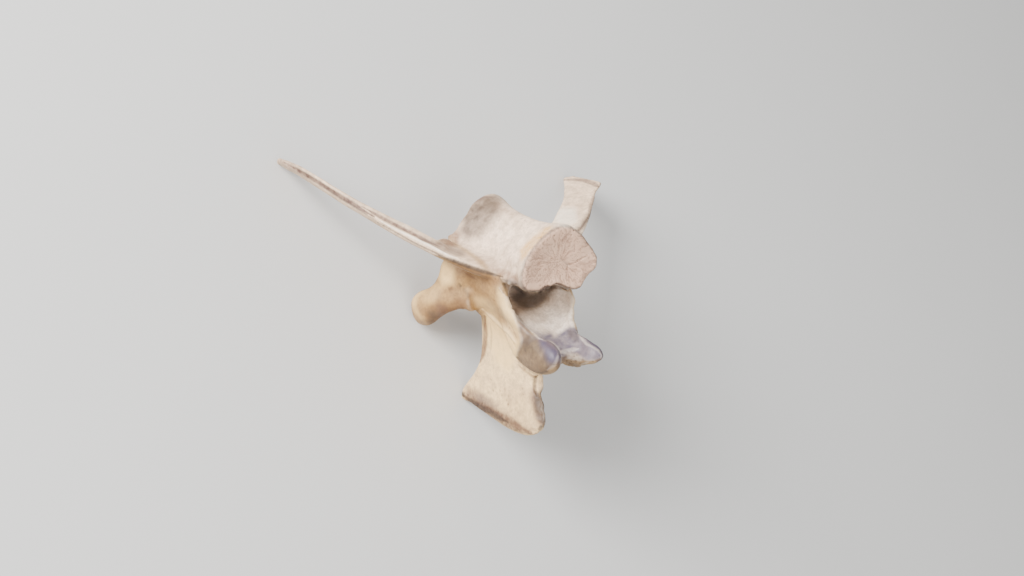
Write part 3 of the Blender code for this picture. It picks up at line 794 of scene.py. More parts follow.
@dataclass(frozen=True)
class DryBone:
    """Dry cortical bone, cleaned and handled: it gives the eye a warm, matt, mottled cream.

    Attributes:
        name: The material's name.
        cream: The colour under every stain.
        stains: The layers of colour, from the lowest up.
        clouds_between: The noise values between which a stain's clouds thin it.
        cloud_roughness: How strong the finer clouds are.
        cloud_detail: How many finer sizes a stain's clouds have.
        reliefs: Size in mm, stretch along the bone and depth in mm of the fine relief: a
            grain as coarse as the picture can show, long faint streaks and soft swells.
        relief_detail: How many finer sizes the relief has.
        roughness: Of the plain bone, and of the smooth joint faces.
        refraction: The refractive index of bone.
    """

    name: str = "dry_cortical_bone"
    cream: str = "#F3D3A2"
    stains: tuple[Stain, ...] = (
        Stain(Mask.BODY, "#FBDDC1", 0.95),
        Stain(Mask.BLADE, "#F2D2B2", 0.9),
        Stain(Mask.SPINE, "#F4CE94", 0.9),
        Stain(Mask.CANAL, "#F0E0D0", 0.95, 6.0, 0.15),
        Stain(None, "#8C745E", 0.42, 2.4, 1.0),
        Stain(None, "#8A6C54", 0.32, 0.8, 1.0),
        Stain(None, "#B09276", 0.35, 8.0, 1.0),
        Stain(Mask.ARCH, "#886231", 1.0, 6.0, 0.12),
        Stain(Mask.ARCH, "#C49B5C", 0.45, 4.5, 1.0),
        Stain(Mask.ARCH, "#5A3C1E", 0.4, 1.3, 1.0),
        Stain(Mask.CREAM, "#F8CE88", 0.9, 3.0, 0.25),
        Stain(Mask.SHADE, "#54402E", 1.0, 3.5, 0.22),
        Stain(Mask.YELLOW, "#D6A04C", 0.85, 1.6, 0.35),
        # Ochre stain, which also carries painted shade in hollows, under the blade and where the
        # arch meets the body
        Stain(Mask.OCHRE, "#6A4420", 0.92, 2.5, 0.3),
        Stain(Mask.ROSE, "#5A3E34", 1.0, 1.6, 0.25),
        Stain(Mask.PLATE, "#EABD9D", 1.0, 3.0, 0.2),
        Stain(Mask.RIDGE, "#7E5442", 0.6),
        # Grey stain, and painted shade at the root of the near blade
        Stain(Mask.GREY, "#6A574C", 1.0, 2.5, 0.25),
        Stain(Mask.BROWN, "#523E2C", 0.94, 2.2, 0.25),
        Stain(Mask.BLUE, "#463E54", 0.92, 3.0, 0.15),
        # Painted shade of the hollow behind the near pedicle
        Stain(Mask.HOLLOW_SHADE, "#6F625E", 0.8, 2.0, 0.2),
        # Rusty stain, and painted shade on the floor of the notch
        Stain(Mask.RUST, "#4E2A16", 0.88, 1.4, 0.35),
        Stain(Mask.RIM, "#54433A", 0.9, 1.0, 0.35),
        Stain(Mask.PORE, "#4E3622", 0.7),
        # Pale stain of crests, which also carries painted highlights on convex edges
        Stain(Mask.PALE, "#FFEFDA", 0.85, 1.5, 0.3),
        # Dark brown lines, and painted shadow under the blade, along the pedicle and in grooves
        Stain(Mask.UMBER, "#26160C", 0.92, 1.2, 0.2),
        # Painted deep shade inside the canal and along the joint face's rounded border
        Stain(Mask.DARK, "#362C29", 0.9),
        # Black spots of the bone, and painted shadow under the near rear joint face
        Stain(Mask.SOOT_AND_SHADOW, "#1E1815", 0.95, 0.8, 0.2),
    )
    clouds_between: Span = (0.42, 0.66)
    cloud_roughness: float = 0.6
    cloud_detail: float = 4.0
    reliefs: tuple[tuple[float, float, float], ...] = (
        (0.35, 1.0, 0.03), (0.7, 0.18, 0.03), (2.4, 1.0, 0.10))
    relief_detail: float = 3.0
    roughness: tuple[float, float] = (0.62, 0.54)
    refraction: float = 1.54

    def clouds(self, tree: bpy.types.NodeTree, place: Any, size_mm: float, detail: float) -> Any:
        """A noise pattern of a given size, as its output socket.

        Args:
            tree: The material's node tree.
            place: The output socket of the place in anatomical millimetres.
            size_mm: The size of the largest clouds.
            detail: How many finer sizes there are.

        Returns:
            An output socket with values round 0.5.
        """
        made = add_node(tree, "ShaderNodeTexNoise", {
            "Vector": place, "Scale": 1.0 / size_mm, "Detail": detail,
            "Roughness": self.cloud_roughness})
        return made.outputs["Fac"]

    def painted(self, tree: bpy.types.NodeTree, mask: Mask) -> Any:
        """The output socket of one mask."""
        return add_node(tree, "ShaderNodeAttribute", attribute_name=mask.value).outputs["Fac"]

    def cover(self, tree: bpy.types.NodeTree, place: Any, stain: Stain) -> Any:
        """How much one stain covers, as an output socket.

        Args:
            tree: The material's node tree.
            place: The output socket of the place in anatomical millimetres.
            stain: The stain.

        Returns:
            An output socket with values from 0 to 1.
        """
        painted = self.painted(tree, stain.mask) if stain.mask else 1.0
        amount = add_node(tree, "ShaderNodeMath", {0: painted, 1: stain.strength},
                          operation="MULTIPLY")
        if stain.mottle_share == 0:
            return amount.outputs[0]
        low, high = self.clouds_between
        share = add_node(tree, "ShaderNodeMapRange", {
            "Value": self.clouds(tree, place, stain.mottle_mm, self.cloud_detail),
            "From Min": low, "From Max": high, "To Min": 1.0 - stain.mottle_share, "To Max": 1.0})
        broken = add_node(tree, "ShaderNodeMath", {
            0: amount.outputs[0], 1: share.outputs[0]}, operation="MULTIPLY")
        return broken.outputs[0]

    def colour(self, tree: bpy.types.NodeTree, place: Any) -> Any:
        """The whole colour, stain over stain, as an output socket.

        Args:
            tree: The material's node tree.
            place: The output socket of the place in anatomical millimetres.

        Returns:
            An output socket with the colour.
        """
        base = add_node(tree, "ShaderNodeRGB")
        base.outputs[0].default_value = linear_colour(self.cream)
        colour = base.outputs[0]
        for stain in self.stains:
            layer = add_node(tree, "ShaderNodeMix", {
                0: self.cover(tree, place, stain), 6: colour, 7: linear_colour(stain.colour)},
                data_type="RGBA", label=stain.mask.value if stain.mask else "clouds")
            colour = layer.outputs[2]
        return colour

    def relief(self, tree: bpy.types.NodeTree, place: Any) -> Any:
        """Fine relief over relief, as the output socket of the last bump.

        Args:
            tree: The material's node tree.
            place: The output socket of the place in anatomical millimetres.

        Returns:
            An output socket with the bent normal.
        """
        below = {}
        for size_mm, stretch, depth_mm in self.reliefs:
            at = place if stretch == 1 else add_node(tree, "ShaderNodeMapping", {
                "Vector": place, "Scale": (stretch, 1, 1)}).outputs[0]
            bump = add_node(tree, "ShaderNodeBump", {
                "Height": self.clouds(tree, at, size_mm, self.relief_detail), "Strength": 1.0,
                "Distance": depth_mm * MM, **below})
            below = {"Normal": bump.outputs[0]}
        return bump.outputs[0]

    def build(self) -> bpy.types.Material:
        """The finished material.

        Returns:
            The material, in which every mask of the bone but the porous one has its stain.
        """
        material, tree, shader = add_material(self.name)
        place = add_node(tree, "ShaderNodeAttribute", attribute_name="anatomy").outputs["Vector"]
        tree.links.new(self.colour(tree, place), shader.inputs["Base Color"])
        tree.links.new(self.relief(tree, place), shader.inputs["Normal"])
        smooth = add_node(tree, "ShaderNodeMapRange", {
            "Value": self.painted(tree, Mask.BLUE), "To Min": self.roughness[0],
            "To Max": self.roughness[1]})
        tree.links.new(smooth.outputs[0], shader.inputs["Roughness"])
        shader.inputs["IOR"].default_value = self.refraction
        shader.inputs["Metallic"].default_value = 0.0
        return material


@dataclass(frozen=True)
class PaleBoard:
    """Matt painted board: it gives the eye a pale, even ground on which soft shadows show.

    Attributes:
        name: The material's name.
        colour: Its sRGB hex colour.
        roughness: How matt it is.
        mottle_size: The size of its faint clouds, in metres.
        darkest: How much of its colour is left where a cloud is darkest.
    """

    name: str = "matt_painted_board"
    colour: str = "#CDCCC9"
    roughness: float = 0.9
    mottle_size: float = 0.05
    darkest: float = 0.97

    def build(self) -> bpy.types.Material:
        """The finished material.

        Returns:
            The material, for the floor.
        """
        material, tree, shader = add_material(self.name)
        place = add_node(tree, "ShaderNodeTexCoord").outputs["Object"]
        cloud = add_node(tree, "ShaderNodeTexNoise", {
            "Vector": place, "Scale": 1.0 / self.mottle_size, "Detail": 2.0})
        tone = add_node(tree, "ShaderNodeMapRange", {
            "Value": cloud.outputs["Fac"], "To Min": self.darkest, "To Max": 1.0})
        toned = add_node(tree, "ShaderNodeVectorMath", {
            0: linear_colour(self.colour)[:3], "Scale": tone.outputs[0]}, operation="SCALE")
        tree.links.new(toned.outputs[0], shader.inputs["Base Color"])
        shader.inputs["Roughness"].default_value = self.roughness
        return material


class GeometryTree:
    """A Geometry Nodes tree with named inputs, ready to be used as a modifier."""

    def __init__(self, name: str, sizes: dict[str, float | int]) -> None:
        """Makes the tree with a geometry in and out and one number input for each size.

        Args:
            name: The tree's name.
            sizes: Input name to its value. A whole number makes an integer input.
        """
        self.tree = bpy.data.node_groups.new(name, "GeometryNodeTree")
        self.sizes = sizes
        self.socket("Geometry", "Geometry")
        self.socket("Geometry", "Geometry", "OUTPUT")
        self.keys = {size: self.socket(size, "Int" if isinstance(value, int) else "Float")
                     for size, value in sizes.items()}
        self.keys["Material"] = self.socket("Material", "Material")
        self.source = self.tree.nodes.new("NodeGroupInput")

    def socket(self, name: str, kind: str, way: str = "INPUT") -> str:
        """Adds one named socket to the tree's interface, and tells what Blender calls it."""
        made = self.tree.interface.new_socket(name, in_out=way, socket_type="NodeSocket" + kind)
        return made.identifier

    def add(self, kind: str, inputs: dict | None = None, **settings: Any) -> Any:
        """Adds one node to this tree."""
        return add_node(self.tree, kind, inputs, **settings)

    def math(self, operation: str, first: Any, second: Any = 0.0) -> Any:
        """The output socket of one arithmetic step."""
        return self.add("ShaderNodeMath", {0: first, 1: second}, operation=operation).outputs[0]

    def size(self, name: str) -> Any:
        """The output socket of one named input."""
        return self.source.outputs[name]

    def attribute(self, name: str, kind: str = "FLOAT") -> Any:
        """The output socket of one attribute of the mesh."""
        made = self.add("GeometryNodeInputNamedAttribute", {"Name": name}, data_type=kind)
        return made.outputs["Attribute"]

    def sink(self, share: Any, depth: Any, mask: Mask) -> None:
        """Ends the tree in real geometry that is sunk in places, with its material set.

        Args:
            share: How much of the depth each point sinks by, from 0 to 1.
            depth: The full depth, in metres.
            mask: The mask that the share is noted in.
        """
        inward = self.math("MULTIPLY", self.math("MULTIPLY", share, depth), -1.0)
        shift = self.add("ShaderNodeVectorMath", {
            0: self.add("GeometryNodeInputNormal").outputs[0], "Scale": inward}, operation="SCALE")
        noted = self.add("GeometryNodeStoreNamedAttribute", {
            "Geometry": self.source.outputs["Geometry"], "Name": mask.value, "Value": share},
            data_type="FLOAT", domain="POINT")
        moved = self.add("GeometryNodeSetPosition", {
            "Geometry": noted.outputs[0], "Offset": shift.outputs[0]})
        real = self.add("GeometryNodeRealizeInstances", {"Geometry": moved.outputs[0]})
        dressed = self.add("GeometryNodeSetMaterial", {
            "Geometry": real.outputs[0], "Material": self.source.outputs["Material"]})
        self.add("NodeGroupOutput", {0: dressed.outputs[0]})

    def apply_to(self, obj: bpy.types.Object, material: bpy.types.Material) -> None:
        """Runs the tree on an object and keeps the result as its plain mesh.

        Args:
            obj: The object whose mesh goes in and comes out.
            material: The material that the result is dressed in.
        """
        modifier = obj.modifiers.new(self.tree.name, "NODES")
        modifier.node_group = self.tree
        for size, value in self.sizes.items():
            modifier[self.keys[size]] = value
        modifier[self.keys["Material"]] = material
        graph = bpy.context.evaluated_depsgraph_get()
        made = bpy.data.meshes.new_from_object(obj.evaluated_get(graph))
        obj.modifiers.clear()
        obj.data = made


@dataclass(frozen=True)
class EndPlateRidges:
    """The fine ridges that run out from the middle of each end face of the body.

    Attributes:
        spacing_mm: From ridge to ridge. The real ones are finer, and this is what still shows.
        reach: How many spacings long a ridge is.
        height_mm: From the bottom of a groove to the top of a ridge.
        middle_mm: The middle of the end faces: to the side, and up.
        sway: How far the ridges sway, in radians.
        sways_per_mm: How often they do.
        ring: The size of the ring of noise that the ridges are cut from, times their spacing.
        groove: How far from the noise's middle value a groove reaches.
        ragged: How ragged the grooves are.
        seed: Of the pattern.
    """

    spacing_mm: float = 0.78
    reach: float = 11.0
    height_mm: float = 0.14
    middle_mm: tuple[float, float] = (0.0, 0.5)
    sway: float = 0.7
    sways_per_mm: float = 0.35
    ring: float = 8.0
    groove: float = 0.09
    ragged: float = 0.35
    seed: float = 7.0

    def build(self) -> GeometryTree:
        """The tree that raises them.

        Returns:
            The tree, ready to be run on the skin.
        """
        made = GeometryTree("end_plate_ridges", {
            "Ridge Spacing": self.spacing_mm, "Ridge Reach": self.reach,
            "Ridge Height": self.height_mm * MM, "Seed": self.seed})
        do, spacing = made.math, made.size("Ridge Spacing")
        place = made.add("ShaderNodeSeparateXYZ", {0: made.attribute("anatomy", "FLOAT_VECTOR")})
        side = do("SUBTRACT", place.outputs["Y"], self.middle_mm[0])
        rise = do("SUBTRACT", place.outputs["Z"], self.middle_mm[1])
        flat = made.add("ShaderNodeCombineXYZ", {"X": side, "Y": rise, "Z": made.size("Seed")})
        sway = made.add("ShaderNodeTexNoise", {
            "Vector": flat.outputs[0], "Scale": self.sways_per_mm, "Detail": 2.0}).outputs["Fac"]
        angle = do("ADD", do("ARCTAN2", rise, side), do("MULTIPLY", sway, self.sway))
        radius = do("SQRT", do("ADD", do("MULTIPLY", side, side), do("MULTIPLY", rise, rise)))
        ring = do("DIVIDE", self.ring, spacing)
        outward = do("DIVIDE", radius, do("MULTIPLY", spacing, made.size("Ridge Reach")))
        pattern = made.add("ShaderNodeCombineXYZ", {
            "X": do("MULTIPLY", do("COSINE", angle), ring),
            "Y": do("MULTIPLY", do("SINE", angle), ring), "Z": outward})
        wave = made.add("ShaderNodeTexNoise", {
            "Vector": pattern.outputs[0], "Scale": 1.0, "Detail": 1.0,
            "Distortion": self.ragged}).outputs["Fac"]
        groove = made.add("ShaderNodeMapRange", {
            "Value": do("ABSOLUTE", do("SUBTRACT", wave, 0.5)),
            "From Min": 0.0, "From Max": self.groove, "To Min": 1.0, "To Max": 0.0}).outputs[0]
        made.sink(do("MULTIPLY", groove, made.attribute(Mask.PLATE.value)),
                  made.size("Ridge Height"), Mask.RIDGE)
        return made


@dataclass(frozen=True)
class Pores:
    """Small pits where vessels entered and where the outer bone has worn through.

    Attributes:
        per_square_mm: How many there are where the bone is most porous.
        radius_mm: Of the widest pit.
        narrowest: How much of that radius the narrowest pit has.
        floor: How much of a pit's radius its flat floor has.
        depth_mm: Of every pit.
        seed: Of their places.
    """

    per_square_mm: float = 0.7
    radius_mm: float = 0.5
    narrowest: float = 0.5
    floor: float = 0.2
    depth_mm: float = 0.3
    seed: int = 11

    def build(self) -> GeometryTree:
        """The tree that sinks them.

        Returns:
            The tree, ready to be run on the skin.
        """
        made = GeometryTree("pores", {
            "Density": self.per_square_mm / MM ** 2, "Radius": self.radius_mm * MM,
            "Depth": self.depth_mm * MM, "Seed": self.seed})
        density = made.math("MULTIPLY", made.attribute(Mask.POROUS.value), made.size("Density"))
        points = made.add("GeometryNodeDistributePointsOnFaces", {
            "Mesh": made.source.outputs["Geometry"], "Density": density,
            "Seed": made.size("Seed")}, distribute_method="RANDOM")
        near = made.add("GeometryNodeProximity", {0: points.outputs["Points"]},
                        target_element="POINTS")
        chance = made.add("ShaderNodeTexWhiteNoise", {"Vector": near.outputs["Position"]})
        share = made.add("ShaderNodeMapRange", {
            "Value": chance.outputs["Value"], "To Min": self.narrowest, "To Max": 1.0}).outputs[0]
        radius = made.math("MULTIPLY", made.size("Radius"), share)
        pit = made.add("ShaderNodeMapRange", {
            "Value": near.outputs["Distance"],
            "From Min": made.math("MULTIPLY", radius, self.floor), "From Max": radius,
            "To Min": 1.0, "To Max": 0.0}, interpolation_type="SMOOTHSTEP").outputs[0]
        made.sink(pit, made.size("Depth"), Mask.PORE)
        return made


@dataclass
class BoneSkin:
    """The whole visible bone: a fine, sculpted and painted copy of the solid part.

    Attributes:
        form_cell_mm: The size of a face of the rounded form that the skin is laid on.
        cell_mm: The size of a face of the skin.
        rounding_passes: How often the facets of the solid are smoothed.
        shrink: The smoothing share of each pass, and the swelling share that undoes its loss.
        settling_passes: How often the finer faces are smoothed.
        drawn_reach_mm: How far round a drawn line or area the faces are made finer.
        fine_ends: Where the end faces have more than this share, they are made finer.
        longest_gap_mm: Where a drawn line leaps farther than this from one part to another,
            it is broken.
        places_between: How many places are put on each piece of a drawn line.
        nearing_steps: How often the place nearest to a line of sight is looked for.
        taper: The share of a stroke, at each end, over which it thins out.
        thinnest: How much of its width a stroke has at its very ends.
        core: The share of a stroke's width that it paints in full.
        grazing: How squarely the camera has to see a place for a patch to reach it.
        hidden_mm: What lies farther than this behind the seen surface gets no patch.
        softening_passes: How often the edge of a drawn area is blurred over the skin.
        pressed_share: The share of a patch where its plane is measured.
        pressed_mm: Points farther than this from a pressed patch's plane stay where they are.
        pressed_facing: How squarely they have to face the plane.
        rim_passes: How often the line round the end faces is blurred.
        rim_depth_mm: How deep that line is.
        crumbs: Height and size in mm and noise seed of the crumbs of the web.
        swells: The same of the faint swells of all the bone.
        bend_passes: How wide the surroundings are that a place is compared with.
        concave_shade: The ochre painted shade of hollows, and the depths in mm where it starts and
            is full.
        edge_highlight: The paleness of the painted highlight on convex edges, and the heights in mm
            where it starts and is full.
        edge_highlight_hidden: How much of that painted highlight the blue and brown stains hide.
        landmarks: The parts of the bone.
        finish: The bone's material.
        obj: The skin's object, once it is begun.
        felt: The skin as it was when last noted.
    """

    form_cell_mm: float = 0.4
    cell_mm: float = 0.6
    rounding_passes: int = 80
    shrink: tuple[float, float] = (0.5, -0.52)
    settling_passes: int = 3
    drawn_reach_mm: float = 0.6
    fine_ends: float = 0.02
    longest_gap_mm: float = 3.0
    places_between: int = 10
    nearing_steps: int = 6
    taper: float = 0.3
    thinnest: float = 0.3
    core: float = 0.3
    grazing: Span = (0.0, 0.15)
    hidden_mm: float = 1.5
    softening_passes: int = 2
    pressed_share: float = 0.5
    pressed_mm: float = 1.6
    pressed_facing: Span = (0.3, 0.7)
    rim_passes: int = 2
    rim_depth_mm: float = 0.15
    crumbs: tuple[float, float, int] = (0.35, 1.3, 5)
    swells: tuple[tuple[float, float, int], ...] = ((0.06, 5.0, 2), (0.02, 1.8, 3))
    bend_passes: int = 12
    concave_shade: tuple[float, Span] = (0.2, (0.1, 0.6))
    edge_highlight: tuple[float, Span] = (0.45, (0.12, 0.6))
    edge_highlight_hidden: float = 0.85
    landmarks: Landmarks = Landmarks()
    finish: DryBone = DryBone()
    obj: bpy.types.Object | None = None
    felt: BVHTree | None = None

    def build(self) -> bpy.types.Object:
        """Makes the skin, dresses it and hands it to the frame.

        Returns:
            The skin's object.
        """
        self.obj = self.merged_copy(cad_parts[NODE])
        self.remake(self.form_cell_mm)
        self.relax(self.rounding_passes)
        self.feel()
        self.pull()
        self.feel()
        form = self.felt
        self.remake(self.cell_mm)
        self.settle(form)
        self.refine()
        self.settle(form)
        self.feel()
        self.sculpt()
        self.feel()
        self.paint()
        material = self.finish.build()
        EndPlateRidges().build().apply_to(self.obj, material)
        Pores().build().apply_to(self.obj, material)
        self.keep_in_box()
        self.obj.data.shade_smooth()
        self.obj.data.name = self.obj.name
        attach(self.obj, "root")
        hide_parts(NODE)
        return self.obj

    def merged_copy(self, node: bpy.types.Object) -> bpy.types.Object:
        """A copy of a node of the frame, at the origin, with its loose triangles joined.

        Args:
            node: The node's object.

        Returns:
            The copy, without a material.
        """
        mesh = node.data.copy()
        work = bmesh.new()
        work.from_mesh(mesh)
        bmesh.ops.remove_doubles(work, verts=work.verts, dist=SAME_PLACE)
        work.to_mesh(mesh)
        work.free()
        mesh.materials.clear()
        return add_object("dry_vertebra", mesh)

    def remake(self, cell_mm: float) -> None:
        """Makes the mesh anew of small even faces.

        Args:
            cell_mm: The size of a face.
        """
        remesh = self.obj.modifiers.new("cells", "REMESH")
        remesh.mode = "VOXEL"
        remesh.voxel_size = cell_mm * MM
        graph = bpy.context.evaluated_depsgraph_get()
        made = bpy.data.meshes.new_from_object(self.obj.evaluated_get(graph))
        self.obj.modifiers.clear()
        self.obj.data = made

    def settle(self, form: BVHTree) -> None:
        """Evens the faces out and lays every point on the rounded form.

        Args:
            form: The rounded form.
        """
        self.relax(self.settling_passes)
        places = [form.find_nearest(Vector(place))[0] for place in ANATOMY.to_part(self.points())]
        self.move_to(ANATOMY.to_bone(np.array(places)))

    def read(self, what: str) -> np.ndarray:
        """One row of three numbers for each point of the skin, in the part's frame.

        Args:
            what: Which of Blender's names for them, co or normal.

        Returns:
            One row for each point.
        """
        flat = np.empty(3 * len(self.obj.data.vertices))
        self.obj.data.vertices.foreach_get(what, flat)
        return flat.reshape(-1, 3)

    def write(self, metres: np.ndarray) -> None:
        """Puts the skin's points at places in the part's frame."""
        self.obj.data.vertices.foreach_set("co", metres.ravel())
        self.obj.data.update()

    def points(self) -> np.ndarray:
        """The skin's points, in anatomical millimetres."""
        return ANATOMY.to_bone(self.read("co"))

    def normals(self) -> np.ndarray:
        """The skin's outward directions, in anatomical axes."""
        return self.read("normal") @ ANATOMY.turn()

    def move_to(self, points: np.ndarray) -> None:
        """Puts the skin's points at places in anatomical millimetres."""
        self.write(ANATOMY.to_part(points))

    def keep_in_box(self) -> None:
        """Keeps every point inside the box of the solid part, and so above the floor."""
        self.write(np.clip(self.read("co"), *(np.array(corner) for corner in CAD_BOX)))

    def feel(self) -> None:
        """Notes the skin as it is now, for the lines of sight that are cast onto it."""
        self.felt = BVHTree.FromObject(self.obj, bpy.context.evaluated_depsgraph_get())

    def neighbours_mean(self, values: np.ndarray, passes: int = 1) -> np.ndarray:
        """Some values, row by row, each time replaced by the mean over a point's neighbours.

        Args:
            values: One row for each point.
            passes: How often this is done.

        Returns:
            The new rows.
        """
        flat = np.empty(2 * len(self.obj.data.edges), dtype=np.int64)
        self.obj.data.edges.foreach_get("vertices", flat)
        a, b = flat.reshape(-1, 2).T
        total = len(values)
        count = np.bincount(a, minlength=total) + np.bincount(b, minlength=total)
        for _ in range(passes):
            values = np.column_stack([
                np.bincount(a, column[b], total) + np.bincount(b, column[a], total)
                for column in values.T]) / count[:, None]
        return values

    def relax(self, passes: int) -> None:
        """Smooths the facets away without thinning the blades.

        Args:
            passes: How often the whole skin is smoothed.
        """
        points = self.points()
        for _ in range(passes):
            for share in self.shrink:
                points = points + share * (self.neighbours_mean(points) - points)
        self.move_to(points)

    def drawn_on(self, points: np.ndarray, normals: np.ndarray) -> np.ndarray:
        """Whether each point carries fine detail: a drawn line, a joint face or an end face.

        Args:
            points: Places in anatomical millimetres.
            normals: Outward directions there.

        Returns:
            One truth value for each point.
        """
        chosen = self.landmarks.end_faces(points, normals) > self.fine_ends
        for stroke in STROKES:
            reach = stroke.width_mm + self.drawn_reach_mm
            chosen |= self.distance_to(points, self.cast(self.filled(stroke.seen)), reach) < reach
        for patch in PATCHES:
            if patch.height_mm or patch.mask is Mask.POROUS:
                chosen |= self.seen_share(patch, points, normals) > 0
        return chosen

    def refine(self) -> None:
        """Splits the faces where fine detail is drawn."""
        chosen = self.drawn_on(self.points(), self.normals())
        work = bmesh.new()
        work.from_mesh(self.obj.data)
        edges = [edge for edge in work.edges if all(chosen[v.index] for v in edge.verts)]
        bmesh.ops.subdivide_edges(work, edges=edges, cuts=1, use_grid_fill=True)
        bmesh.ops.triangulate(work, faces=[f for f in work.faces if len(f.verts) > 4])
        work.to_mesh(self.obj.data)
        work.free()

    def filled(self, line: Pixels) -> np.ndarray:
        """A line with places close together along it.

        Args:
            line: The given places.

        Returns:
            Rows of x and y.
        """
        given = np.array(line, float)
        steps = np.linspace(0, len(given) - 1, self.places_between * (len(given) - 1) + 1)
        return np.column_stack([np.interp(steps, np.arange(len(given)), c) for c in given.T])

    def cast(self, pixels: np.ndarray) -> np.ndarray:
        """Where lines of sight meet the skin, or pass it nearest where they miss it.

        Args:
            pixels: Rows of x and y in the picture.

        Returns:
            Rows of places, in anatomical millimetres.
        """
        eye = Vector(VIEW.place)
        places = []
        for ray in VIEW.rays(pixels):
            hit = self.felt.ray_cast(eye, Vector(ray))[0]
            distance = eye.length
            for _ in range(0 if hit else self.nearing_steps):
                nearest = self.felt.find_nearest(eye + Vector(ray) * distance)[0]
                distance = (nearest - eye).length
            places.append(tuple(hit or nearest))
        return ANATOMY.to_bone(np.array(places))

    def pull(self) -> None:
        """Pulls the skin where the drags say."""
        points = self.points()
        moved = points.copy()
        eye = ANATOMY.to_bone(np.array([VIEW.place]))[0]
        for drag in DRAGS:
            line = self.filled(drag.seen)
            places = self.cast(line)
            distance = np.linalg.norm(places - eye, axis=1, keepdims=True)
            asked = line + self.filled(drag.shifts_px)
            now, ahead = (VIEW.rays(seen) @ ANATOMY.turn() for seen in (line, asked))
            shifts = ahead * (distance - drag.nearer_mm) - now * distance
            for side in sides(drag.mirrored):
                near = self.boxed(points, places * side, drag.reach_mm / drag.depth_share)
                apart = points[near, None] - (places * side)[None]
                depth = apart @ (now[0] * side)
                apart -= (1 - drag.depth_share) * depth[..., None] * (now[0] * side)
                gaps = np.linalg.norm(apart, axis=2)
                share = smoothstep(gaps.min(axis=1), (drag.reach_mm, 0.0))
                moved[near] += share[:, None] * (shifts * side)[gaps.argmin(axis=1)]
        self.move_to(moved)

    @staticmethod
    def boxed(points: np.ndarray, places: np.ndarray, reach: float) -> np.ndarray:
        """Whether each point lies in the box round some places, widened by a reach."""
        low, high = places.min(axis=0) - reach, places.max(axis=0) + reach
        return np.all((points > low) & (points < high), axis=1)

    def distance_to(self, points: np.ndarray, path: np.ndarray, reach: float,
                    taper: float = 0.0) -> np.ndarray:
        """How far each point is from a path, in millimetres.

        Args:
            points: Places in anatomical millimetres.
            path: Rows of places along the path.
            reach: Farther points are left at infinity.
            taper: The share of the path, at each end, over which distances count as longer.

        Returns:
            One distance for each point.
        """
        nearest = np.full(len(points), np.inf)
        near = self.boxed(points, path, reach)
        close = points[near]
        best = np.full(len(close), np.inf)
        for index, (start, end) in enumerate(zip(path[:-1], path[1:])):
            along = end - start
            if along @ along > self.longest_gap_mm ** 2:
                continue
            t = np.clip((close - start) @ along / max(along @ along, TINY), 0, 1)
            gap = np.linalg.norm(close - start - t[:, None] * along, axis=1)
            if taper:
                place = (index + t) / (len(path) - 1)
                inward = smoothstep(np.minimum(place, 1 - place), (0.0, taper))
                gap /= self.thinnest + (1 - self.thinnest) * inward
            best = np.minimum(best, gap)
        nearest[near] = best
        return nearest

    def stroke_share(self, stroke: Stroke, points: np.ndarray, core: float = 0.0) -> np.ndarray:
        """A stroke's effect at each point.

        Args:
            stroke: The stroke.
            points: Places in anatomical millimetres.
            core: The share of its width where it has its full effect.

        Returns:
            Numbers from 0 to 1.
        """
        path = self.cast(self.filled(stroke.seen))
        taper = self.taper if len(stroke.seen) > 2 else 0.0
        nearest = np.min([self.distance_to(points, path * side, stroke.width_mm, taper)
                          for side in sides(stroke.mirrored)], axis=0)
        return smoothstep(nearest, (stroke.width_mm, core * stroke.width_mm))

    def seen_share(self, patch: Patch, points: np.ndarray, normals: np.ndarray) -> np.ndarray:
        """How far each point lies inside a patch, seen from the camera.

        Args:
            patch: The patch.
            points: Places in anatomical millimetres.
            normals: Outward directions there.

        Returns:
            Numbers from 0 to 1.
        """
        metres = ANATOMY.to_part(points)
        seen = VIEW.project(metres)
        corners = np.array(patch.outline, float)
        inside = np.zeros(len(seen), bool)
        gap = np.full(len(seen), np.inf)
        for start, end in zip(corners, np.roll(corners, -1, axis=0)):
            along = end - start
            t = np.clip((seen - start) @ along / (along @ along), 0, 1)
            gap = np.minimum(gap, np.linalg.norm(seen - start - t[:, None] * along, axis=1))
            crosses = (start[1] > seen[:, 1]) != (end[1] > seen[:, 1])
            rise = along[1] or TINY
            at = start[0] + (seen[:, 1] - start[1]) / rise * along[0]
            inside ^= crosses & (seen[:, 0] < at)
        share = smoothstep(np.where(inside, gap, -gap), (-patch.soft_px / 2, patch.soft_px / 2))
        eye = np.array(VIEW.place)
        sight = metres - eye
        distance = np.linalg.norm(sight, axis=1)
        towards = -sight / distance[:, None]
        share *= smoothstep(np.sum(normals @ ANATOMY.turn().T * towards, axis=1), self.grazing)
        for index in np.flatnonzero(share > 0):
            hit = self.felt.ray_cast(Vector(eye), Vector(sight[index]).normalized())[3]
            if hit is not None and hit < distance[index] - self.hidden_mm * MM:
                share[index] = 0.0
        return self.neighbours_mean(share[:, None], self.softening_passes)[:, 0]

    def patch_share(self, patch: Patch, points: np.ndarray, normals: np.ndarray) -> np.ndarray:
        """A patch's effect at each point, from 0 to 1, with its mirror image."""
        return np.max([self.seen_share(patch, points * side, normals * side)
                       for side in sides(patch.mirrored)], axis=0)

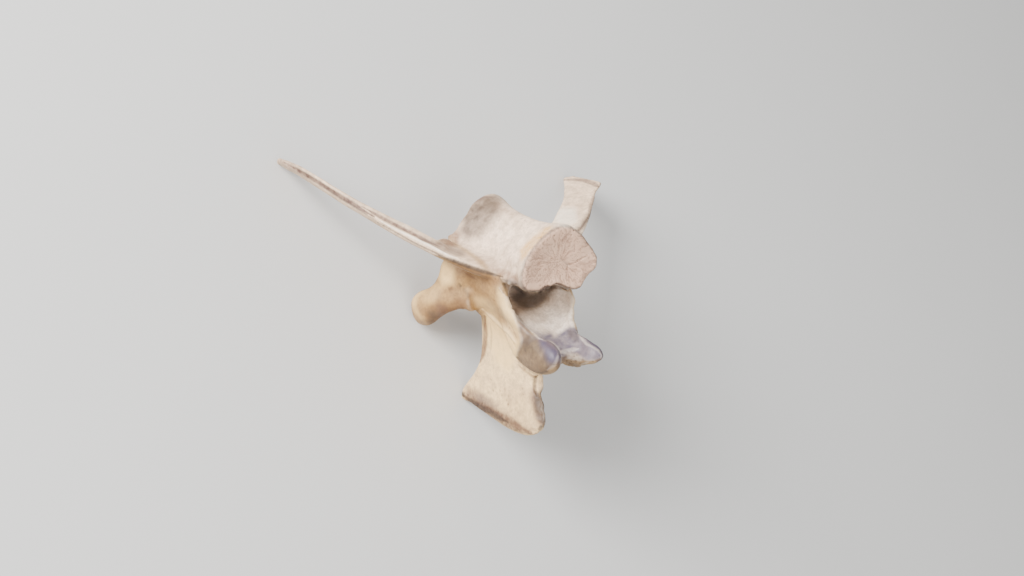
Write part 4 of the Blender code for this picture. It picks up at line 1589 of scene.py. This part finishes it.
    def pressed(self, patch: Patch, points: np.ndarray, normals: np.ndarray) -> np.ndarray:
        """The points with a patch, and its mirror image, pressed towards a plane.

        Args:
            patch: The patch.
            points: Places in anatomical millimetres.
            normals: Outward directions there.

        Returns:
            The moved places.
        """
        moved = points.copy()
        for side in sides(patch.mirrored):
            share = self.seen_share(patch, points * side, normals * side)
            inside = points[share > self.pressed_share]
            middle = inside.mean(axis=0)
            across = np.linalg.svd(inside - middle, full_matrices=False)[2][2]
            height = (points - middle) @ across
            share = share * smoothstep(np.abs(height), (self.pressed_mm, self.pressed_mm / 2))
            share *= smoothstep(np.abs(normals @ across), self.pressed_facing)
            moved -= (patch.flatness * share * height)[:, None] * across
        return moved

    def sculpt(self) -> None:
        """Presses the joint faces flat, raises the crests, sinks the grooves and adds grain."""
        points, normals = self.points(), self.normals()
        for patch in PATCHES:
            if patch.flatness:
                points = self.pressed(patch, points, normals)
        self.move_to(points)
        self.feel()
        normals = self.normals()
        lift = -self.rim_depth_mm * self.rim_share(points, normals)
        for stroke in STROKES:
            if stroke.height_mm:
                lift += stroke.height_mm * self.stroke_share(stroke, points)
        for patch in PATCHES:
            if patch.height_mm:
                lift += patch.height_mm * self.patch_share(patch, points, normals)
        lift += self.landmarks.web.share(points) * self.noise(points, *self.crumbs)
        for swell in self.swells:
            lift += self.noise(points, *swell)
        self.move_to(points + normals * lift[:, None])

    @staticmethod
    def noise(points: np.ndarray, height: float, size_mm: float, seed: int) -> np.ndarray:
        """Smooth noise up to about a height, with features of a given size."""
        offset = Vector([step * seed for step in NOISE_STEPS])
        return height * np.array([noise.noise(Vector(p) / size_mm + offset) for p in points])

    def rim_share(self, points: np.ndarray, normals: np.ndarray) -> np.ndarray:
        """The narrow line round each end face of the body: 1 on its edge, 0 off it.

        Args:
            points: Places in anatomical millimetres.
            normals: Outward directions there.

        Returns:
            Numbers from 0 to 1.
        """
        share = self.landmarks.end_faces(points, normals)[:, None]
        share = self.neighbours_mean(share, self.rim_passes)[:, 0]
        return 4 * share * (1 - share)

    def paint(self) -> None:
        """Stores every mask, and the anatomical place, on the skin's points."""
        points, normals = self.points(), self.normals()
        masks = {mask: np.zeros(len(points)) for mask in Mask}
        masks.update(self.landmarks.masks(points, normals))
        masks[Mask.RIM] = self.rim_share(points, normals)

        def add(mask: Mask, values: np.ndarray) -> None:
            """Paints a mask where it is weaker than the values."""
            masks[mask] = np.maximum(masks[mask], values)

        for stroke in STROKES:
            if stroke.mask:
                add(stroke.mask, stroke.strength * self.stroke_share(stroke, points, self.core))
        for patch in PATCHES:
            if patch.mask:
                add(patch.mask, patch.strength * self.patch_share(patch, points, normals))
        around = self.neighbours_mean(points, self.bend_passes)
        depth = np.sum((around - points) * normals, axis=1)
        quiet = self.landmarks.quiet(points)
        (concave_shade, depths), (edge_highlight, heights) = self.concave_shade, self.edge_highlight
        # Painted shade: ochre in hollows, stronger the deeper they are, off the end faces
        add(Mask.OCHRE, concave_shade * smoothstep(depth, depths) * quiet)
        # Painted highlight: pale on convex edges, off the end faces, weaker under the blue and
        # brown stains
        bare = 1 - self.edge_highlight_hidden * np.clip(masks[Mask.BLUE] + masks[Mask.BROWN], 0, 1)
        add(Mask.PALE, edge_highlight * smoothstep(-depth, heights) * quiet * bare)
        for mask, values in masks.items():
            made = self.obj.data.attributes.new(mask.value, "FLOAT", "POINT")
            made.data.foreach_set("value", np.clip(values, 0, 1).astype(np.float32))
        place = self.obj.data.attributes.new("anatomy", "FLOAT_VECTOR", "POINT")
        place.data.foreach_set("vector", points.astype(np.float32).ravel())


@dataclass(frozen=True)
class Lamp:
    """A soft square light that looks at the bone.

    Attributes:
        name: Its name.
        place: Where it hangs, in metres.
        width: Its width in metres.
        power: Its power in watts.
    """

    name: str
    place: tuple[float, float, float]
    width: float
    power: float

    def build(self) -> None:
        """Puts it in the scene."""
        lamp = bpy.data.lights.new(self.name, "AREA")
        lamp.size = self.width
        lamp.energy = self.power
        obj = add_object(self.name, lamp)
        obj.location = self.place
        obj.rotation_mode = "QUATERNION"
        obj.rotation_quaternion = (-Vector(self.place)).to_track_quat("-Z", "Y")


@dataclass(frozen=True)
class Studio:
    """The floor, the soft lights and the camera.

    Attributes:
        floor_half: Half the width of the floor, in metres.
        floor_cells: How many cells the floor is split into, each way.
        floor_drop_mm: How far the floor lies under the bone, so that the two never touch.
        lamps: The main light, and a weaker one from the other side.
        sky: Colour and brightness of the even light all round.
        nearest: What is nearer to the camera than this, in metres, isn't drawn.
    """

    floor_half: float = 3.0
    floor_cells: int = 4
    floor_drop_mm: float = 0.05
    lamps: tuple[Lamp, ...] = (Lamp("key_light", (-0.30, -0.70, 0.37), 0.45, 21.0),
                               Lamp("fill_light", (0.40, -0.10, 0.75), 0.5, 3.0))
    sky: tuple[str, float] = ("#F4F5F7", 0.85)
    nearest: float = 0.01

    def build(self) -> None:
        """Puts all of it in the scene."""
        self.floor()
        for lamp in self.lamps:
            lamp.build()
        self.surround()
        self.camera()

    def floor(self) -> None:
        """A plain pale floor just under the bone."""
        mesh = bpy.data.meshes.new("floor")
        work = bmesh.new()
        bmesh.ops.create_grid(work, x_segments=self.floor_cells, y_segments=self.floor_cells,
                              size=self.floor_half)
        bmesh.ops.translate(work, verts=work.verts, vec=(0, 0, -self.floor_drop_mm * MM))
        work.to_mesh(mesh)
        work.free()
        mesh.materials.append(PaleBoard().build())
        add_object("floor", mesh)

    def surround(self) -> None:
        """An even, neutral light from all round."""
        world = bpy.data.worlds.new("surround")
        world.use_nodes = True
        background = world.node_tree.nodes["Background"]
        colour, brightness = self.sky
        background.inputs["Color"].default_value = linear_colour(colour)
        background.inputs["Strength"].default_value = brightness
        bpy.context.scene.world = world

    def camera(self) -> None:
        """The camera, fitted to the picture."""
        camera = bpy.data.cameras.new("camera")
        camera.sensor_width = SENSOR_WIDTH
        camera.lens = VIEW.focal_px * SENSOR_WIDTH / PICTURE_WIDTH
        camera.clip_start = self.nearest
        obj = add_object("camera", camera)
        obj.matrix_world = Matrix.Translation(VIEW.place) @ Matrix(VIEW.axes().T.tolist()).to_4x4()
        bpy.context.scene.camera = obj


def main() -> None:
    """Builds the bone and the studio round it, and reports each piece."""
    logging.basicConfig(level=logging.INFO, format="%(name)s: %(message)s")
    bone = BoneSkin().build()
    triangles = sum(len(face.vertices) - 2 for face in bone.data.polygons)
    LOG.info("%s: %d points, %d triangles", bone.name, len(bone.data.vertices), triangles)
    Studio().build()
    LOG.info("studio: floor, two soft lights, surround and camera")


if __name__ == "__main__":
    main()
